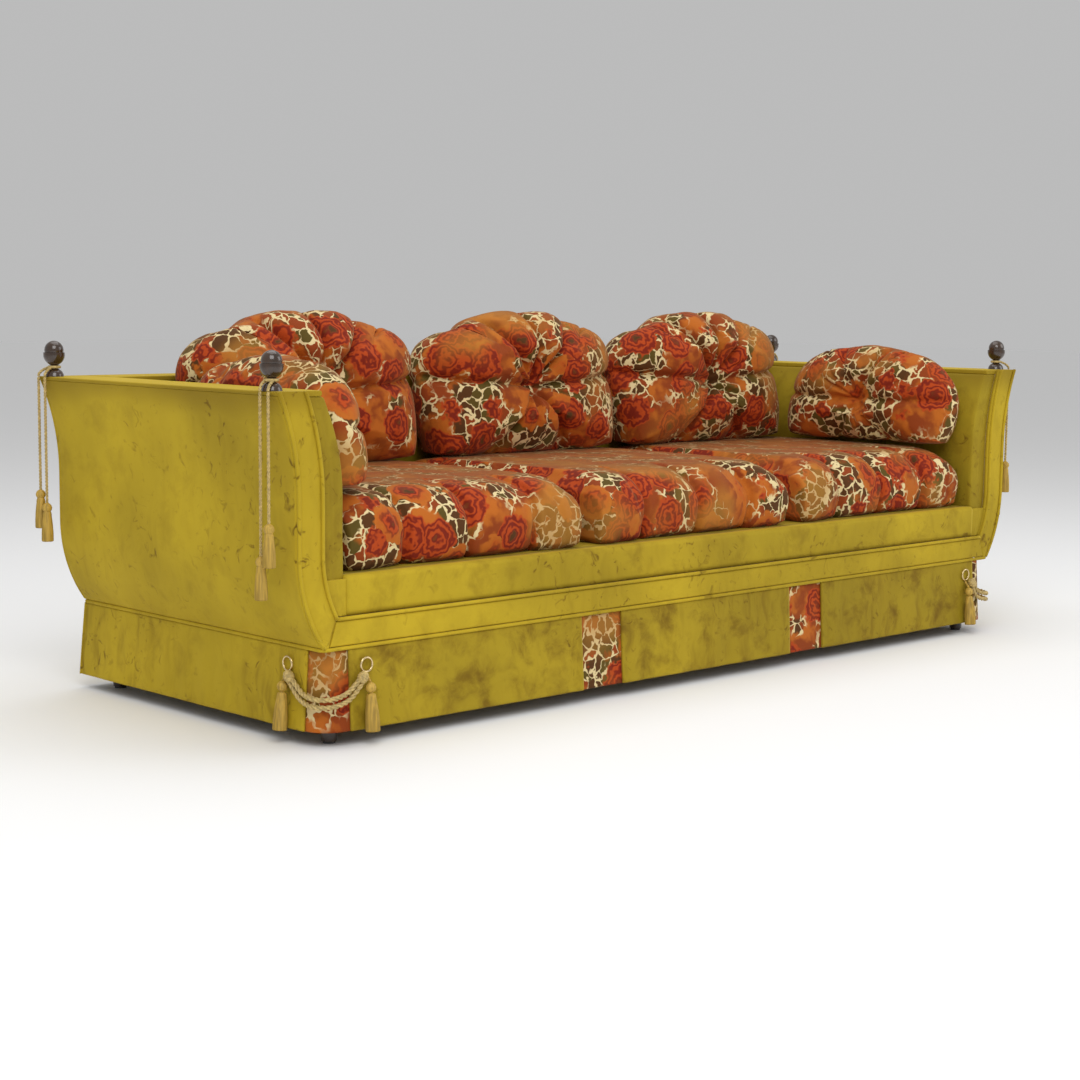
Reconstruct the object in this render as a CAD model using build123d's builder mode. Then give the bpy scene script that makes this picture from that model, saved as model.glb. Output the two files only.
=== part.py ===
from build123d import *
import math
import os

# A long velvet sofa: flared ogee arms, pleated skirt, corner finials with tasselled cords, loose cushions.
# Millimetres. X runs along the sofa, Y from front to back, Z up from the floor under its middle.

# Body
base_width = 2300.0
body_depth = 885.0
arm_top = 715.0
base_line = 205.0
border_height = 60.0
lip_height = 80.0
lip_recess = 6.0
lip_rounding = 7.0

# Arm section
arm_bulge = 60.0
arm_flare = 47.0
waist_low = 390.0
waist_high = 500.0
arm_thickness = 125.0
inside_flare = 54.0
facing_width = 66.0
facing_thickness = 14.0
mitre_foot = 19.0

# Covers, pads and welts
cover_thickness = 8.0
cap_thickness = 12.0
back_pad_thickness = 66.0
welt_diameter = 8.0
welt_stand = 3.0
welt_corner = 12.0
facing_welt_height = 4.0
facing_welt_rounding = 2.5
dust_cover_thickness = 2.0
dust_cover_margin = 6.0

# Hardwood frame
rail_thickness = 30.0
rail_bottom = 150.0
rail_top = 300.0
post_foot_width = 80.0
top_rail_height = 35.0
tack_rail_bottom = 330.0
tack_rail_height = 45.0
upright_width = 60.0
cross_rail_height = 90.0
block_leg = 85.0
block_height = 80.0

# Webbing
strap_width = 60.0
strap_thickness = 3.0
seat_straps = 18
seat_cross_straps = 6
back_straps = 14
back_cross_straps = 3
strap_pitch = 115.0
strap_hold = 26.0

# Skirt
skirt_hem = 32.0
skirt_flare = 10.0
skirt_thickness = 6.0
insert_thickness = 4.0
insert_width = 128.0
insert_overlap = 30.0
front_corner_gap = 67.0
side_corner_gap = 52.0
corner_rounding = 45.0

# Legs
leg_inset_side = 58.0
leg_inset_front = 55.0
leg_top_radius = 26.0
leg_foot_radius = 16.0
leg_shoulder = 12.0
leg_plate_size = 60.0
leg_plate_thickness = 3.0
glide_radius = 13.0
glide_height = 5.0
bolt_radius = 4.0
bolt_in_leg = 35.0
bolt_in_frame = 40.0
bolt_clearance = 0.1

# Finials
finial_inset_side = 23.0
finial_inset_front = 49.0
finial_inset_rear = 30.0
finial_base_radius = 21.0
finial_base_height = 17.0
finial_neck_radius = 8.0
finial_neck_height = 8.0
finial_cup_height = 24.0
finial_rim_radius = 23.5
finial_rim_height = 4.0
finial_dome_radius = 20.5
finial_dome_height = 26.0
screw_radius = 3.0
screw_in_finial = 20.0
screw_in_frame = 13.0

# Finial cords and their tassels
cord_diameter = 6.5
cord_bend_share = 0.45
cord_stand = 3.6
cord_pivot_drop = 3.0
cord_lead_rise = 12.0
front_strand_places = (2.0, -24.5)
front_strand_drops = (318.0, 252.0)
rear_strand_places = (-4.0, 22.5)
rear_strand_drops = (277.0, 249.0)
lead_angles = (35.0, 75.0)
tassel_length = 86.0
tassel_radius = 13.0
tassel_head_radius = 11.0
tassel_head_length = 22.0
tassel_waist_radius = 8.5

# Tie-backs at the front corners
ring_radius = 14.5
ring_wire_radius = 2.2
ring_from_corner = 107.0
ring_height = 163.0
rope_diameter = 11.0
rope_stand = 1.5
knot_radius = 12.0
knot_length = 24.0
knot_end_radius = 7.0
knot_shoulder_run = 3.5
knot_shoulder_radius = 10.2
knot_crown_run = 8.5
knot_slope = 53.0
upper_rope_points = ((80.1, 135.6), (64.0, 118.0), (46.0, 108.0), (12.0, 103.0))
lower_rope_points = ((88.1, 129.6), (71.0, 107.0), (52.0, 94.0), (13.0, 87.0))
rope_corner_stand = 7.5
tie_tassel_length = 100.0
tie_tassel_radius = 15.0
tie_tassel_head_radius = 11.5
tie_tassel_waist_radius = 9.0
tie_stem_radius = 3.0
tie_stem_length = 14.0
tie_tassel_stand = 1.5
tie_head_stand = 1.0

# Seat cushions
cushion_gap = 2.0
seat_front_stand = 2.5
seat_front_top = 482.0
seat_crown = 502.0
seat_rear_top = 477.0
seat_nose_depth = 62.0
seat_nose_height = 55.0
seat_under_cut = 14.0
seat_under_bow = 0.25
channels = 4
channel_depth = 14.0
channel_drop = 13.0
channel_drop_crown = 4.0
side_pull = 18.0
side_drop = 16.0

# Back cushions
back_cushion_width = 686.0
back_cushion_rise = 192.0
back_cushion_centre = 180.0
back_cushion_lean = 6.0
back_lobe_angles = (4.0, 50.0, 90.0, 130.0, 176.0)
back_lobe_swell = 1.07
back_cushion_foot = 300.0
back_cushion_foot_third = 105.0
back_cushion_sections = (
    (0.0, 0.84, 0.93),
    (80.0, 1.0, 1.0),
    (148.0, 0.87, 0.97),
    (186.0, 0.52, 0.6),
    (164.0, 0.1, 0.1),
)

# Arm cushions
arm_cushion_length = 580.0
arm_cushion_rise = 160.0
arm_cushion_centre = 118.0
arm_cushion_lean = 6.0
arm_cushion_stand = 2.6
arm_cushion_front_gap = 31.0
arm_lobe_angles = (2.0, 62.0, 118.0, 178.0)
arm_lobe_swell = 1.0
arm_cushion_foot = 262.0
arm_cushion_foot_third = 88.0
arm_cushion_sections = (
    (0.0, 0.84, 0.93),
    (62.0, 1.0, 1.0),
    (112.0, 0.87, 0.96),
    (142.0, 0.52, 0.6),
    (126.0, 0.1, 0.1),
)
foot_swell = 5.0
side_swell = 12.0

# Clearance between fitted pieces and between loose cushions and what they touch
fit = 0.3

# Places worked out from the sizes
half_base = base_width / 2
front = -body_depth / 2
rear = body_depth / 2
border_top = base_line + border_height
seat_line = border_top + lip_height
cap_bottom = arm_top - cap_thickness
waist = half_base + arm_bulge
inner_waist = waist - arm_thickness
flare_radius = ((arm_top - waist_high) ** 2 + arm_flare**2) / (2 * arm_flare)
tuck_radius = ((waist_low - base_line) ** 2 + arm_bulge**2) / (2 * arm_bulge)
inside_radius = ((arm_top - waist_high) ** 2 + inside_flare**2) / (2 * inside_flare)
welt_radius = welt_diameter / 2
rail_front = front + facing_thickness
rail_front_back = rail_front + rail_thickness
frame_rear = rear - cover_thickness
frame_rear_front = frame_rear - rail_thickness
pad_rear = frame_rear_front - 2 * strap_thickness
back_face = pad_rear - back_pad_thickness
deck_bottom = rail_top + 2 * strap_thickness
skirt_top = base_line - welt_diameter
leg_x = half_base - leg_inset_side
leg_front_y = front + leg_inset_front
leg_rear_y = rear - leg_inset_front
leg_places = [(x, y) for x in (-leg_x, leg_x) for y in (leg_front_y, leg_rear_y)]
leg_top = rail_bottom - leg_plate_thickness
end_rail_inner = leg_x - rail_thickness / 2
cushion_width = (2 * inner_waist - 4 * cushion_gap) / 3
cushion_pitch = cushion_width + cushion_gap


def arm_outside(z, inset=0.0):
    """Half width of the arm's outside at height z, moved inwards by inset square to the surface."""
    if z > waist_high:
        return waist + flare_radius - math.sqrt((flare_radius + inset) ** 2 - (z - waist_high) ** 2)
    if z < waist_low:
        return waist - tuck_radius + math.sqrt((tuck_radius - inset) ** 2 - (waist_low - z) ** 2)
    return waist - inset


def arm_inside(z, gap=0.0):
    """Half width between the arms' inside faces at height z, less a gap square to the surface."""
    if z > waist_high:
        return inner_waist + inside_radius - math.sqrt((inside_radius + gap) ** 2 - (z - waist_high) ** 2)
    return inner_waist - gap


def side_curve(half_width, breaks, low, high, inset):
    """Draw a side of the section from height low to high: lines where it is upright, arcs elsewhere."""
    stops = [low] + [z for z in breaks if low < z < high] + [high]
    for start, end in zip(stops, stops[1:]):
        points = [(half_width(z, inset), z) for z in (start, (start + end) / 2, end)]
        if math.isclose(points[0][0], points[2][0]):
            Line(points[0], points[2])
        else:
            ThreePointArc(*points)


def outside_curve(low, high, inset=0.0):
    """Draw the arm's outside from height low to height high."""
    side_curve(arm_outside, (waist_low, waist_high), low, high, inset)


def inside_curve(low, high, gap=0.0):
    """Draw the arm's inside face from height low to height high."""
    side_curve(arm_inside, (waist_high,), low, high, gap)


def arm_band(low, high, outer, inner):
    """Draw the closed band between two insets of the arm's outside."""
    outside_curve(low, high, outer)
    outside_curve(low, high, inner)
    for z in (low, high):
        Line((arm_outside(z, outer), z), (arm_outside(z, inner), z))


def upright(y):
    """Plane that faces the front at depth y, with X across and Z up; pieces are extruded back from it."""
    return Plane.XZ.offset(-y)


def standing(x, y, z):
    """Plane for a turned piece's half profile, with its axis upright at x, y and its zero at height z."""
    return Plane(origin=(x, y, z), x_dir=(1, 0, 0), z_dir=(0, -1, 0))


def upright_axis(x, y):
    """The upright axis through x, y."""
    return Axis((x, y, 0), (0, 0, 1))


def finish(piece, name):
    """Label a finished piece and write it to its own file."""
    piece.part.label = name
    export_step(piece.part, f"parts/{name}.step")


def finish_pair(right, name):
    """Write a right-hand piece and its mirror image on the left."""
    finish(right, f"{name}_right")
    with BuildPart() as left:
        mirror(right.part, about=Plane.YZ)
    finish(left, f"{name}_left")


os.makedirs("parts", exist_ok=True)

# Seat frame
foot_inner = arm_outside(base_line, cover_thickness + fit) - post_foot_width
with BuildPart() as seat_rails:
    for y in (rail_front, frame_rear_front):
        with BuildSketch(upright(y)):
            with Locations((0, (rail_bottom + rail_top) / 2)):
                Rectangle(2 * foot_inner, rail_top - rail_bottom)
        extrude(amount=-rail_thickness)
finish(seat_rails, "seat_rails")

with BuildPart() as end_rails:
    with BuildSketch(upright(rail_front_back)):
        with Locations((leg_x, (rail_bottom + rail_top) / 2)):
            Rectangle(rail_thickness, rail_top - rail_bottom)
    extrude(amount=-(frame_rear_front - rail_front_back))
    with BuildSketch(Plane.XY.offset(rail_bottom)):
        with Locations((leg_x, leg_front_y), (leg_x, leg_rear_y)):
            Circle(bolt_radius + bolt_clearance)
    extrude(amount=bolt_in_frame, mode=Mode.SUBTRACT)
    mirror(about=Plane.YZ)
finish(end_rails, "end_rails")

with BuildPart() as seat_braces:
    with BuildSketch(upright(rail_front_back)):
        with Locations((cushion_pitch / 2, rail_bottom + cross_rail_height / 2)):
            Rectangle(rail_thickness, cross_rail_height)
    extrude(amount=-(frame_rear_front - rail_front_back))
    with BuildSketch(Plane.XY.offset(rail_bottom)):
        for y, turn in ((rail_front_back, 1), (frame_rear_front, -1)):
            with BuildLine():
                Polyline(
                    (end_rail_inner, y),
                    (end_rail_inner - block_leg, y),
                    (end_rail_inner, y + turn * block_leg),
                    close=True,
                )
            make_face()
    extrude(amount=block_height)
    mirror(about=Plane.YZ)
finish(seat_braces, "seat_braces")


# Arm frames
def post_outline():
    """Draw the right post: a broad foot beside the seat rail and the arm's ogee above it."""
    outer = cover_thickness + fit
    outside_curve(base_line, cap_bottom, outer)
    Line((arm_outside(cap_bottom, outer), cap_bottom), (arm_outside(cap_bottom, facing_width), cap_bottom))
    outside_curve(rail_top, cap_bottom, facing_width)
    Line((arm_outside(rail_top, facing_width), rail_top), (foot_inner, rail_top))
    Line((foot_inner, rail_top), (foot_inner, base_line))
    Line((foot_inner, base_line), (arm_outside(base_line, outer), base_line))


finial_x = arm_outside(arm_top) - finial_inset_side
finial_front_y = front + finial_inset_front
finial_rear_y = rear - finial_inset_rear

with BuildPart() as arm_posts:
    for y in (rail_front, frame_rear_front):
        with BuildSketch(upright(y)):
            with BuildLine():
                post_outline()
            make_face()
        extrude(amount=-rail_thickness)
    with BuildSketch(Plane.XY.offset(cap_bottom)):
        with Locations((finial_x, finial_rear_y)):
            Circle(screw_radius + bolt_clearance)
    extrude(amount=-screw_in_frame, mode=Mode.SUBTRACT)
    mirror(about=Plane.YZ)
finish(arm_posts, "arm_posts")

with BuildPart() as arm_top_rails:
    with BuildSketch(upright(rail_front_back)):
        with BuildLine():
            arm_band(cap_bottom - top_rail_height, cap_bottom, cover_thickness + fit, facing_width)
        make_face()
    extrude(amount=-(frame_rear_front - rail_front_back))
    with BuildSketch(Plane.XY.offset(cap_bottom)):
        with Locations((finial_x, finial_front_y)):
            Circle(screw_radius + bolt_clearance)
    extrude(amount=-screw_in_frame, mode=Mode.SUBTRACT)
    mirror(about=Plane.YZ)
finish(arm_top_rails, "arm_top_rails")


# Back frame
def back_rail_outline(low, high):
    """Draw half of a rail between the two rear posts, with its end shaped to the post."""
    outside_curve(low, high, facing_width)
    for z in (low, high):
        Line((0, z), (arm_outside(z, facing_width), z))
    Line((0, low), (0, high))


tack_rail_top = tack_rail_bottom + tack_rail_height
with BuildPart() as back_rails:
    for low, high in ((cap_bottom - top_rail_height, cap_bottom), (tack_rail_bottom, tack_rail_top)):
        with BuildSketch(upright(frame_rear_front)):
            with BuildLine():
                back_rail_outline(low, high)
            make_face()
            mirror(about=Plane.YZ)
        extrude(amount=-rail_thickness)
finish(back_rails, "back_rails")

with BuildPart() as back_uprights:
    upright_height = cap_bottom - top_rail_height - tack_rail_top
    with BuildSketch(upright(frame_rear_front)):
        with Locations((cushion_pitch / 2, tack_rail_top + upright_height / 2)):
            Rectangle(upright_width, upright_height)
    extrude(amount=-rail_thickness)
    mirror(about=Plane.YZ)
finish(back_uprights, "back_uprights")

# Webbing under the seat and behind the back
frame_middle = (rail_front + frame_rear) / 2
with BuildPart() as seat_webbing:
    strap_length = frame_rear - rail_front - 2 * (rail_thickness - strap_hold)
    seat_strap_pitch = (2 * inner_waist - strap_width) / seat_straps
    with BuildSketch(Plane.XY.offset(rail_top)):
        with Locations((0, frame_middle)):
            with GridLocations(seat_strap_pitch, 0, seat_straps, 1):
                Rectangle(strap_width, strap_length)
    extrude(amount=strap_thickness)
    with BuildSketch(Plane.XY.offset(rail_top + strap_thickness)):
        with Locations((0, frame_middle)):
            with GridLocations(0, strap_pitch, 1, seat_cross_straps):
                Rectangle(seat_strap_pitch * (seat_straps - 1) + strap_width, strap_width)
    extrude(amount=strap_thickness)
finish(seat_webbing, "seat_webbing")

with BuildPart() as back_webbing:
    strap_low = tack_rail_top - strap_hold
    strap_high = cap_bottom - top_rail_height + strap_hold
    back_strap_pitch = (2 * inner_waist - strap_width) / back_straps
    with BuildSketch(upright(frame_rear_front - strap_thickness)):
        with Locations((0, (strap_low + strap_high) / 2)):
            with GridLocations(back_strap_pitch, 0, back_straps, 1):
                Rectangle(strap_width, strap_high - strap_low)
    extrude(amount=-strap_thickness)
    with BuildSketch(upright(frame_rear_front - 2 * strap_thickness)):
        with Locations((0, (strap_low + strap_high) / 2)):
            with GridLocations(0, (strap_high - strap_low) / (back_cross_straps + 1), 1, back_cross_straps):
                Rectangle(back_strap_pitch * (back_straps - 1) + strap_width, strap_width)
    extrude(amount=-strap_thickness)
finish(back_webbing, "back_webbing")

# Seat deck, inside back and dust cover
with BuildPart() as seat_deck_pad:
    with BuildSketch(Plane.XY.offset(deck_bottom)):
        with Locations((0, (rail_front_back + back_face) / 2)):
            Rectangle(2 * (inner_waist - fit), back_face - rail_front_back - 2 * fit)
    extrude(amount=seat_line - deck_bottom)
finish(seat_deck_pad, "seat_deck_pad")

with BuildPart() as inside_back_pad:
    with BuildSketch(upright(back_face)):
        with BuildLine():
            inside_curve(deck_bottom, cap_bottom, fit)
            for z in (deck_bottom, cap_bottom):
                Line((0, z), (arm_inside(z, fit), z))
            Line((0, deck_bottom), (0, cap_bottom))
        make_face()
        mirror(about=Plane.YZ)
    extrude(amount=-back_pad_thickness)
finish(inside_back_pad, "inside_back_pad")

with BuildPart() as dust_cover:
    with BuildSketch(Plane.XY.offset(rail_bottom)):
        with Locations((0, frame_middle)):
            Rectangle(
                2 * (end_rail_inner - block_leg),
                frame_rear - rail_front - 2 * dust_cover_margin,
            )
    extrude(amount=-dust_cover_thickness)
finish(dust_cover, "dust_cover")

# Outside arms, inside arm pads and facings
cover_top = arm_top - welt_diameter
with BuildPart() as outside_arm:
    with BuildSketch(upright(rail_front)):
        with BuildLine():
            arm_band(base_line, cover_top, 0, cover_thickness)
        make_face()
    extrude(amount=-(frame_rear - rail_front))
finish_pair(outside_arm, "outside_arm")

with BuildPart() as inside_arm_pad:
    pad_bottom = rail_top + fit
    with BuildSketch(upright(rail_front)):
        with BuildLine():
            inside_curve(pad_bottom, cap_bottom)
            outside_curve(pad_bottom, cap_bottom, facing_width + fit)
            for z in (pad_bottom, cap_bottom):
                Line((arm_inside(z), z), (arm_outside(z, facing_width + fit), z))
        make_face()
    extrude(amount=-(pad_rear - rail_front))
finish_pair(inside_arm_pad, "inside_arm_pad")

mitre_top_x = arm_outside(border_top, facing_width)
mitre_low_x = half_base - mitre_foot
with BuildPart() as arm_facing:
    with BuildSketch(upright(front)):
        with BuildLine():
            outside_curve(base_line, arm_top)
            outside_curve(border_top, arm_top, facing_width)
            Line((arm_outside(arm_top), arm_top), (arm_outside(arm_top, facing_width), arm_top))
            Polyline((mitre_top_x, border_top), (mitre_low_x, base_line), (half_base, base_line))
        make_face()
    extrude(amount=-facing_thickness)
finish_pair(arm_facing, "arm_facing")

with BuildPart() as front_border:
    with BuildSketch(upright(front)):
        with BuildLine():
            Polyline(
                (-mitre_top_x, border_top),
                (mitre_top_x, border_top),
                (mitre_low_x, base_line),
                (-mitre_low_x, base_line),
                close=True,
            )
        make_face()
    extrude(amount=-facing_thickness)
finish(front_border, "front_border")

with BuildPart() as seat_front_lip:
    lip_front = front + lip_recess
    with BuildSketch(Plane.YZ.offset(-(inner_waist - fit))):
        with BuildLine():
            Polyline(
                (lip_front, border_top),
                (lip_front, seat_line),
                (rail_front_back, seat_line),
                (rail_front_back, rail_top + 2 * strap_thickness),
                (rail_front, rail_top + 2 * strap_thickness),
                (rail_front, border_top),
                close=True,
            )
        make_face()
    extrude(amount=2 * (inner_waist - fit))
    lip_edges = edges().filter_by(Axis.X).filter_by_position(Axis.Z, seat_line, seat_line)
    fillet(lip_edges.sort_by(Axis.Y)[0], lip_rounding)
    with BuildSketch(upright(lip_front)):
        with Locations((0, (border_top + rail_top) / 2)):
            Rectangle(2 * (mitre_top_x - fit), rail_top - border_top)
    extrude(amount=-(rail_front - lip_front))
finish(seat_front_lip, "seat_front_lip")

# Caps along the tops of the arms and the back
with BuildPart() as top_caps:
    with BuildSketch(upright(rail_front)):
        with BuildLine():
            inside_curve(cap_bottom, arm_top)
            outside_curve(cap_bottom, arm_top, welt_diameter)
            for z in (cap_bottom, arm_top):
                Line((arm_inside(z), z), (arm_outside(z, welt_diameter), z))
        make_face()
    extrude(amount=-(frame_rear - rail_front))
    with BuildSketch(Plane.XY.offset(arm_top)):
        with Locations((finial_x, finial_front_y), (finial_x, finial_rear_y)):
            Circle(screw_radius + bolt_clearance)
    extrude(amount=-cap_thickness, mode=Mode.SUBTRACT)
    mirror(about=Plane.YZ)
    with BuildSketch(upright(back_face)):
        with BuildLine():
            inside_curve(cap_bottom, arm_top, fit)
            for z in (cap_bottom, arm_top):
                Line((0, z), (arm_inside(z, fit), z))
            Line((0, cap_bottom), (0, arm_top))
        make_face()
        mirror(about=Plane.YZ)
    extrude(amount=-(frame_rear - back_face))
finish(top_caps, "top_caps")

with BuildPart() as outside_back:
    with BuildSketch(upright(frame_rear)):
        with BuildLine():
            outside_curve(base_line, arm_top)
            for z in (base_line, arm_top):
                Line((0, z), (arm_outside(z), z))
            Line((0, base_line), (0, arm_top))
        make_face()
        mirror(about=Plane.YZ)
    extrude(amount=-cover_thickness)
finish(outside_back, "outside_back")

# Welts
with BuildPart() as arm_welts:
    with BuildSketch(upright(front)):
        with BuildLine():
            arm_band(base_line, arm_top, 0, welt_diameter)
        make_face()
        with BuildLine():
            arm_band(border_top - welt_diameter, arm_top, facing_width - welt_diameter, facing_width)
        make_face()
        welt_end = arm_outside(border_top - welt_diameter, facing_width - welt_diameter)
        with Locations((welt_end / 2, border_top - welt_radius)):
            Rectangle(welt_end, welt_diameter)
        mirror(about=Plane.YZ)
    extrude(amount=facing_welt_height)
    fillet(faces().filter_by(Plane.XZ).sort_by(Axis.Y)[0].edges(), facing_welt_rounding)
    welt_z = arm_top - welt_radius
    with BuildSketch(upright(rail_front)):
        with Locations((arm_outside(welt_z, welt_radius), welt_z)):
            Circle(welt_radius)
    extrude(amount=-(frame_rear - rail_front))
    mirror(about=Plane.YZ)
finish(arm_welts, "arm_welts")

with BuildPart() as base_welt:
    welt_x = half_base - welt_radius + welt_stand
    welt_y = rear - welt_radius + welt_stand
    with BuildLine(Plane.XY.offset(skirt_top + welt_radius)) as welt_path:
        FilletPolyline(
            (welt_x, -welt_y), (welt_x, welt_y), (-welt_x, welt_y), (-welt_x, -welt_y),
            radius=welt_corner,
            close=True,
        )
    with BuildSketch(Plane(origin=(welt_x, 0, skirt_top + welt_radius), z_dir=(0, 1, 0))):
        Circle(welt_radius)
    sweep(path=welt_path.wires()[0])
finish(base_welt, "base_welt")


# Skirt panels: flat cloth that leans out from the welt to the hem
def skirt_panel(name, corners):
    """A panel between its plan at the welt and at the hem; corners are x, y and the way each leans out."""
    with BuildPart() as panel:
        for z, lean in ((skirt_top, 0), (skirt_hem, skirt_flare)):
            with BuildSketch(Plane.XY.offset(z)):
                with BuildLine():
                    Polyline(*[(x + lean * dx, y + lean * dy) for x, y, dx, dy in corners], close=True)
                make_face()
        loft(ruled=True)
    finish(panel, name)


def front_panel(name, left, right):
    """A skirt panel along the front between two places on X."""
    back = front + skirt_thickness
    skirt_panel(name, [(left, front, 0, -1), (right, front, 0, -1), (right, back, 0, -1), (left, back, 0, -1)])


def side_panel(name, side):
    """A skirt panel along one side, from the corner insert to the mitred rear corner."""
    outer = side * half_base
    inner = side * (half_base - skirt_thickness)
    start = front + side_corner_gap
    corners = [(outer, start, side, 0), (outer, rear, side, 1)]
    corners += [(inner, rear - skirt_thickness, side, 1), (inner, start, side, 0)]
    skirt_panel(name, corners)


insert_x = cushion_pitch / 2
insert_half = insert_width / 2
front_panel("skirt_front_left", -(half_base - front_corner_gap), -(insert_x + insert_half))
front_panel("skirt_front_centre", -(insert_x - insert_half), insert_x - insert_half)
front_panel("skirt_front_right", insert_x + insert_half, half_base - front_corner_gap)
side_panel("skirt_side_left", -1)
side_panel("skirt_side_right", 1)
rear_corners = [(-half_base, rear, -1, 1), (half_base, rear, 1, 1)]
rear_inner = half_base - skirt_thickness
rear_corners += [(rear_inner, rear - skirt_thickness, 1, 1), (-rear_inner, rear - skirt_thickness, -1, 1)]
skirt_panel("skirt_rear", rear_corners)

with BuildPart() as pleat_inserts:
    insert_front = front + skirt_thickness
    for z, lean in ((skirt_top, 0), (skirt_hem, skirt_flare)):
        with BuildSketch(Plane.XY.offset(z)):
            with Locations((insert_x, insert_front + insert_thickness / 2 - lean)):
                Rectangle(insert_width + 2 * insert_overlap, insert_thickness)
    loft(ruled=True)
    start_x = half_base - front_corner_gap - insert_overlap
    end_y = front + side_corner_gap + insert_overlap
    for z, lean in ((skirt_top, 0), (skirt_hem, skirt_flare)):
        with BuildSketch(Plane.XY.offset(z)):
            for layer in (0, insert_thickness):
                outer_y = front + skirt_thickness - lean + layer
                outer_x = half_base - skirt_thickness + lean - layer
                radius = corner_rounding - layer
                bend = radius * (1 - math.sqrt(0.5))
                with BuildLine():
                    Line((start_x, outer_y), (outer_x - radius, outer_y))
                    ThreePointArc(
                        (outer_x - radius, outer_y),
                        (outer_x - bend, outer_y + bend),
                        (outer_x, outer_y + radius),
                    )
                    Line((outer_x, outer_y + radius), (outer_x, end_y))
            with BuildLine():
                Line((start_x, front + skirt_thickness - lean), (start_x, outer_y))
                Line((half_base - skirt_thickness + lean, end_y), (outer_x, end_y))
            make_face()
    loft(ruled=True)
    mirror(about=Plane.YZ)
finish(pleat_inserts, "pleat_inserts")

# Legs with their plates, bolts and glides
with BuildPart() as legs:
    for x, y in leg_places:
        with BuildSketch(standing(x, y, 0)):
            with BuildLine():
                Polyline(
                    (0, glide_height),
                    (leg_foot_radius, glide_height),
                    (leg_top_radius, leg_top - leg_shoulder),
                )
                shoulder = leg_top_radius - leg_shoulder / 2
                TangentArc((leg_top_radius, leg_top - leg_shoulder), (shoulder, leg_top), tangent=(0, 1))
                Polyline((shoulder, leg_top), (bolt_radius + bolt_clearance, leg_top))
                bore_bottom = leg_top - bolt_in_leg
                Polyline(
                    (bolt_radius + bolt_clearance, leg_top),
                    (bolt_radius + bolt_clearance, bore_bottom),
                    (0, bore_bottom),
                    (0, glide_height),
                )
            make_face()
        revolve(axis=upright_axis(x, y))
finish(legs, "legs")

with BuildPart() as leg_fixings:
    with BuildSketch(Plane.XY.offset(leg_top)):
        with Locations(leg_places):
            Rectangle(leg_plate_size, leg_plate_size)
    extrude(amount=leg_plate_thickness)
    with BuildSketch(Plane.XY.offset(leg_top - bolt_in_leg)):
        with Locations(leg_places):
            Circle(bolt_radius)
    extrude(amount=bolt_in_leg + leg_plate_thickness + bolt_in_frame)
finish(leg_fixings, "leg_fixings")

with BuildPart() as glides:
    with BuildSketch():
        with Locations(leg_places):
            Circle(glide_radius)
    extrude(amount=glide_height)
finish(glides, "glides")

# Finials, turned like acorns, and their screws
finial_places = [(side * finial_x, y) for side in (-1, 1) for y in (finial_front_y, finial_rear_y)]
neck_bottom = finial_base_height
neck_top = neck_bottom + finial_neck_height
rim_bottom = neck_top + finial_cup_height
rim_top = rim_bottom + finial_rim_height


def ball_arc(start, end):
    """Draw the arc between two points of a half profile that has its centre on the turning axis."""
    (x0, z0), (x1, z1) = start, end
    middle = (x1**2 + z1**2 - x0**2 - z0**2) / (2 * (z1 - z0))
    turn = (math.atan2(z0 - middle, x0) + math.atan2(z1 - middle, x1)) / 2
    radius = math.hypot(x0, z0 - middle)
    ThreePointArc(start, (radius * math.cos(turn), middle + radius * math.sin(turn)), end)


with BuildPart() as finials:
    for x, y in finial_places:
        with BuildSketch(standing(x, y, arm_top)):
            with BuildLine():
                screw_bore = screw_radius + bolt_clearance
                Polyline((0, screw_in_finial), (screw_bore, screw_in_finial), (screw_bore, 0))
                Line((screw_bore, 0), (finial_base_radius, 0))
                TangentArc((finial_base_radius, 0), (finial_neck_radius, neck_bottom), tangent=(0, 1))
                Line((finial_neck_radius, neck_bottom), (finial_neck_radius, neck_top))
                ball_arc((finial_neck_radius, neck_top), (finial_rim_radius, rim_bottom))
                Line((finial_rim_radius, rim_bottom), (finial_rim_radius, rim_top))
                Line((finial_rim_radius, rim_top), (finial_dome_radius, rim_top))
                ball_arc((finial_dome_radius, rim_top), (0, rim_top + finial_dome_height))
                Line((0, rim_top + finial_dome_height), (0, screw_in_finial))
            make_face()
        revolve(axis=upright_axis(x, y))
finish(finials, "finials")

with BuildPart() as finial_screws:
    with BuildSketch(Plane.XY.offset(cap_bottom - screw_in_frame)):
        with Locations(finial_places):
            Circle(screw_radius)
    extrude(amount=screw_in_frame + cap_thickness + screw_in_finial)
finish(finial_screws, "finial_screws")

# Cords: a loop round each finial's neck with two leads over the arm's edge, and two hanging strands
cord_radius = cord_diameter / 2
loop_radius = finial_neck_radius + cord_radius + fit
loop_z = arm_top + neck_bottom + finial_neck_height / 2
hang_x = arm_outside(arm_top) + cord_stand
pivot_z = arm_top - cord_pivot_drop
lead_end = pivot_z + cord_radius + fit


def tube_radii(points):
    """The arc at each corner of a cord's route: a share of the shorter run over the half turn's tangent."""
    runs = [Vector(*b) - Vector(*a) for a, b in zip(points, points[1:])]
    radii = []
    for before, after in zip(runs, runs[1:]):
        half_turn = math.radians(before.get_angle(after) / 2)
        radii.append(cord_bend_share * min(before.length, after.length) / math.tan(half_turn))
    return radii


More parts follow.
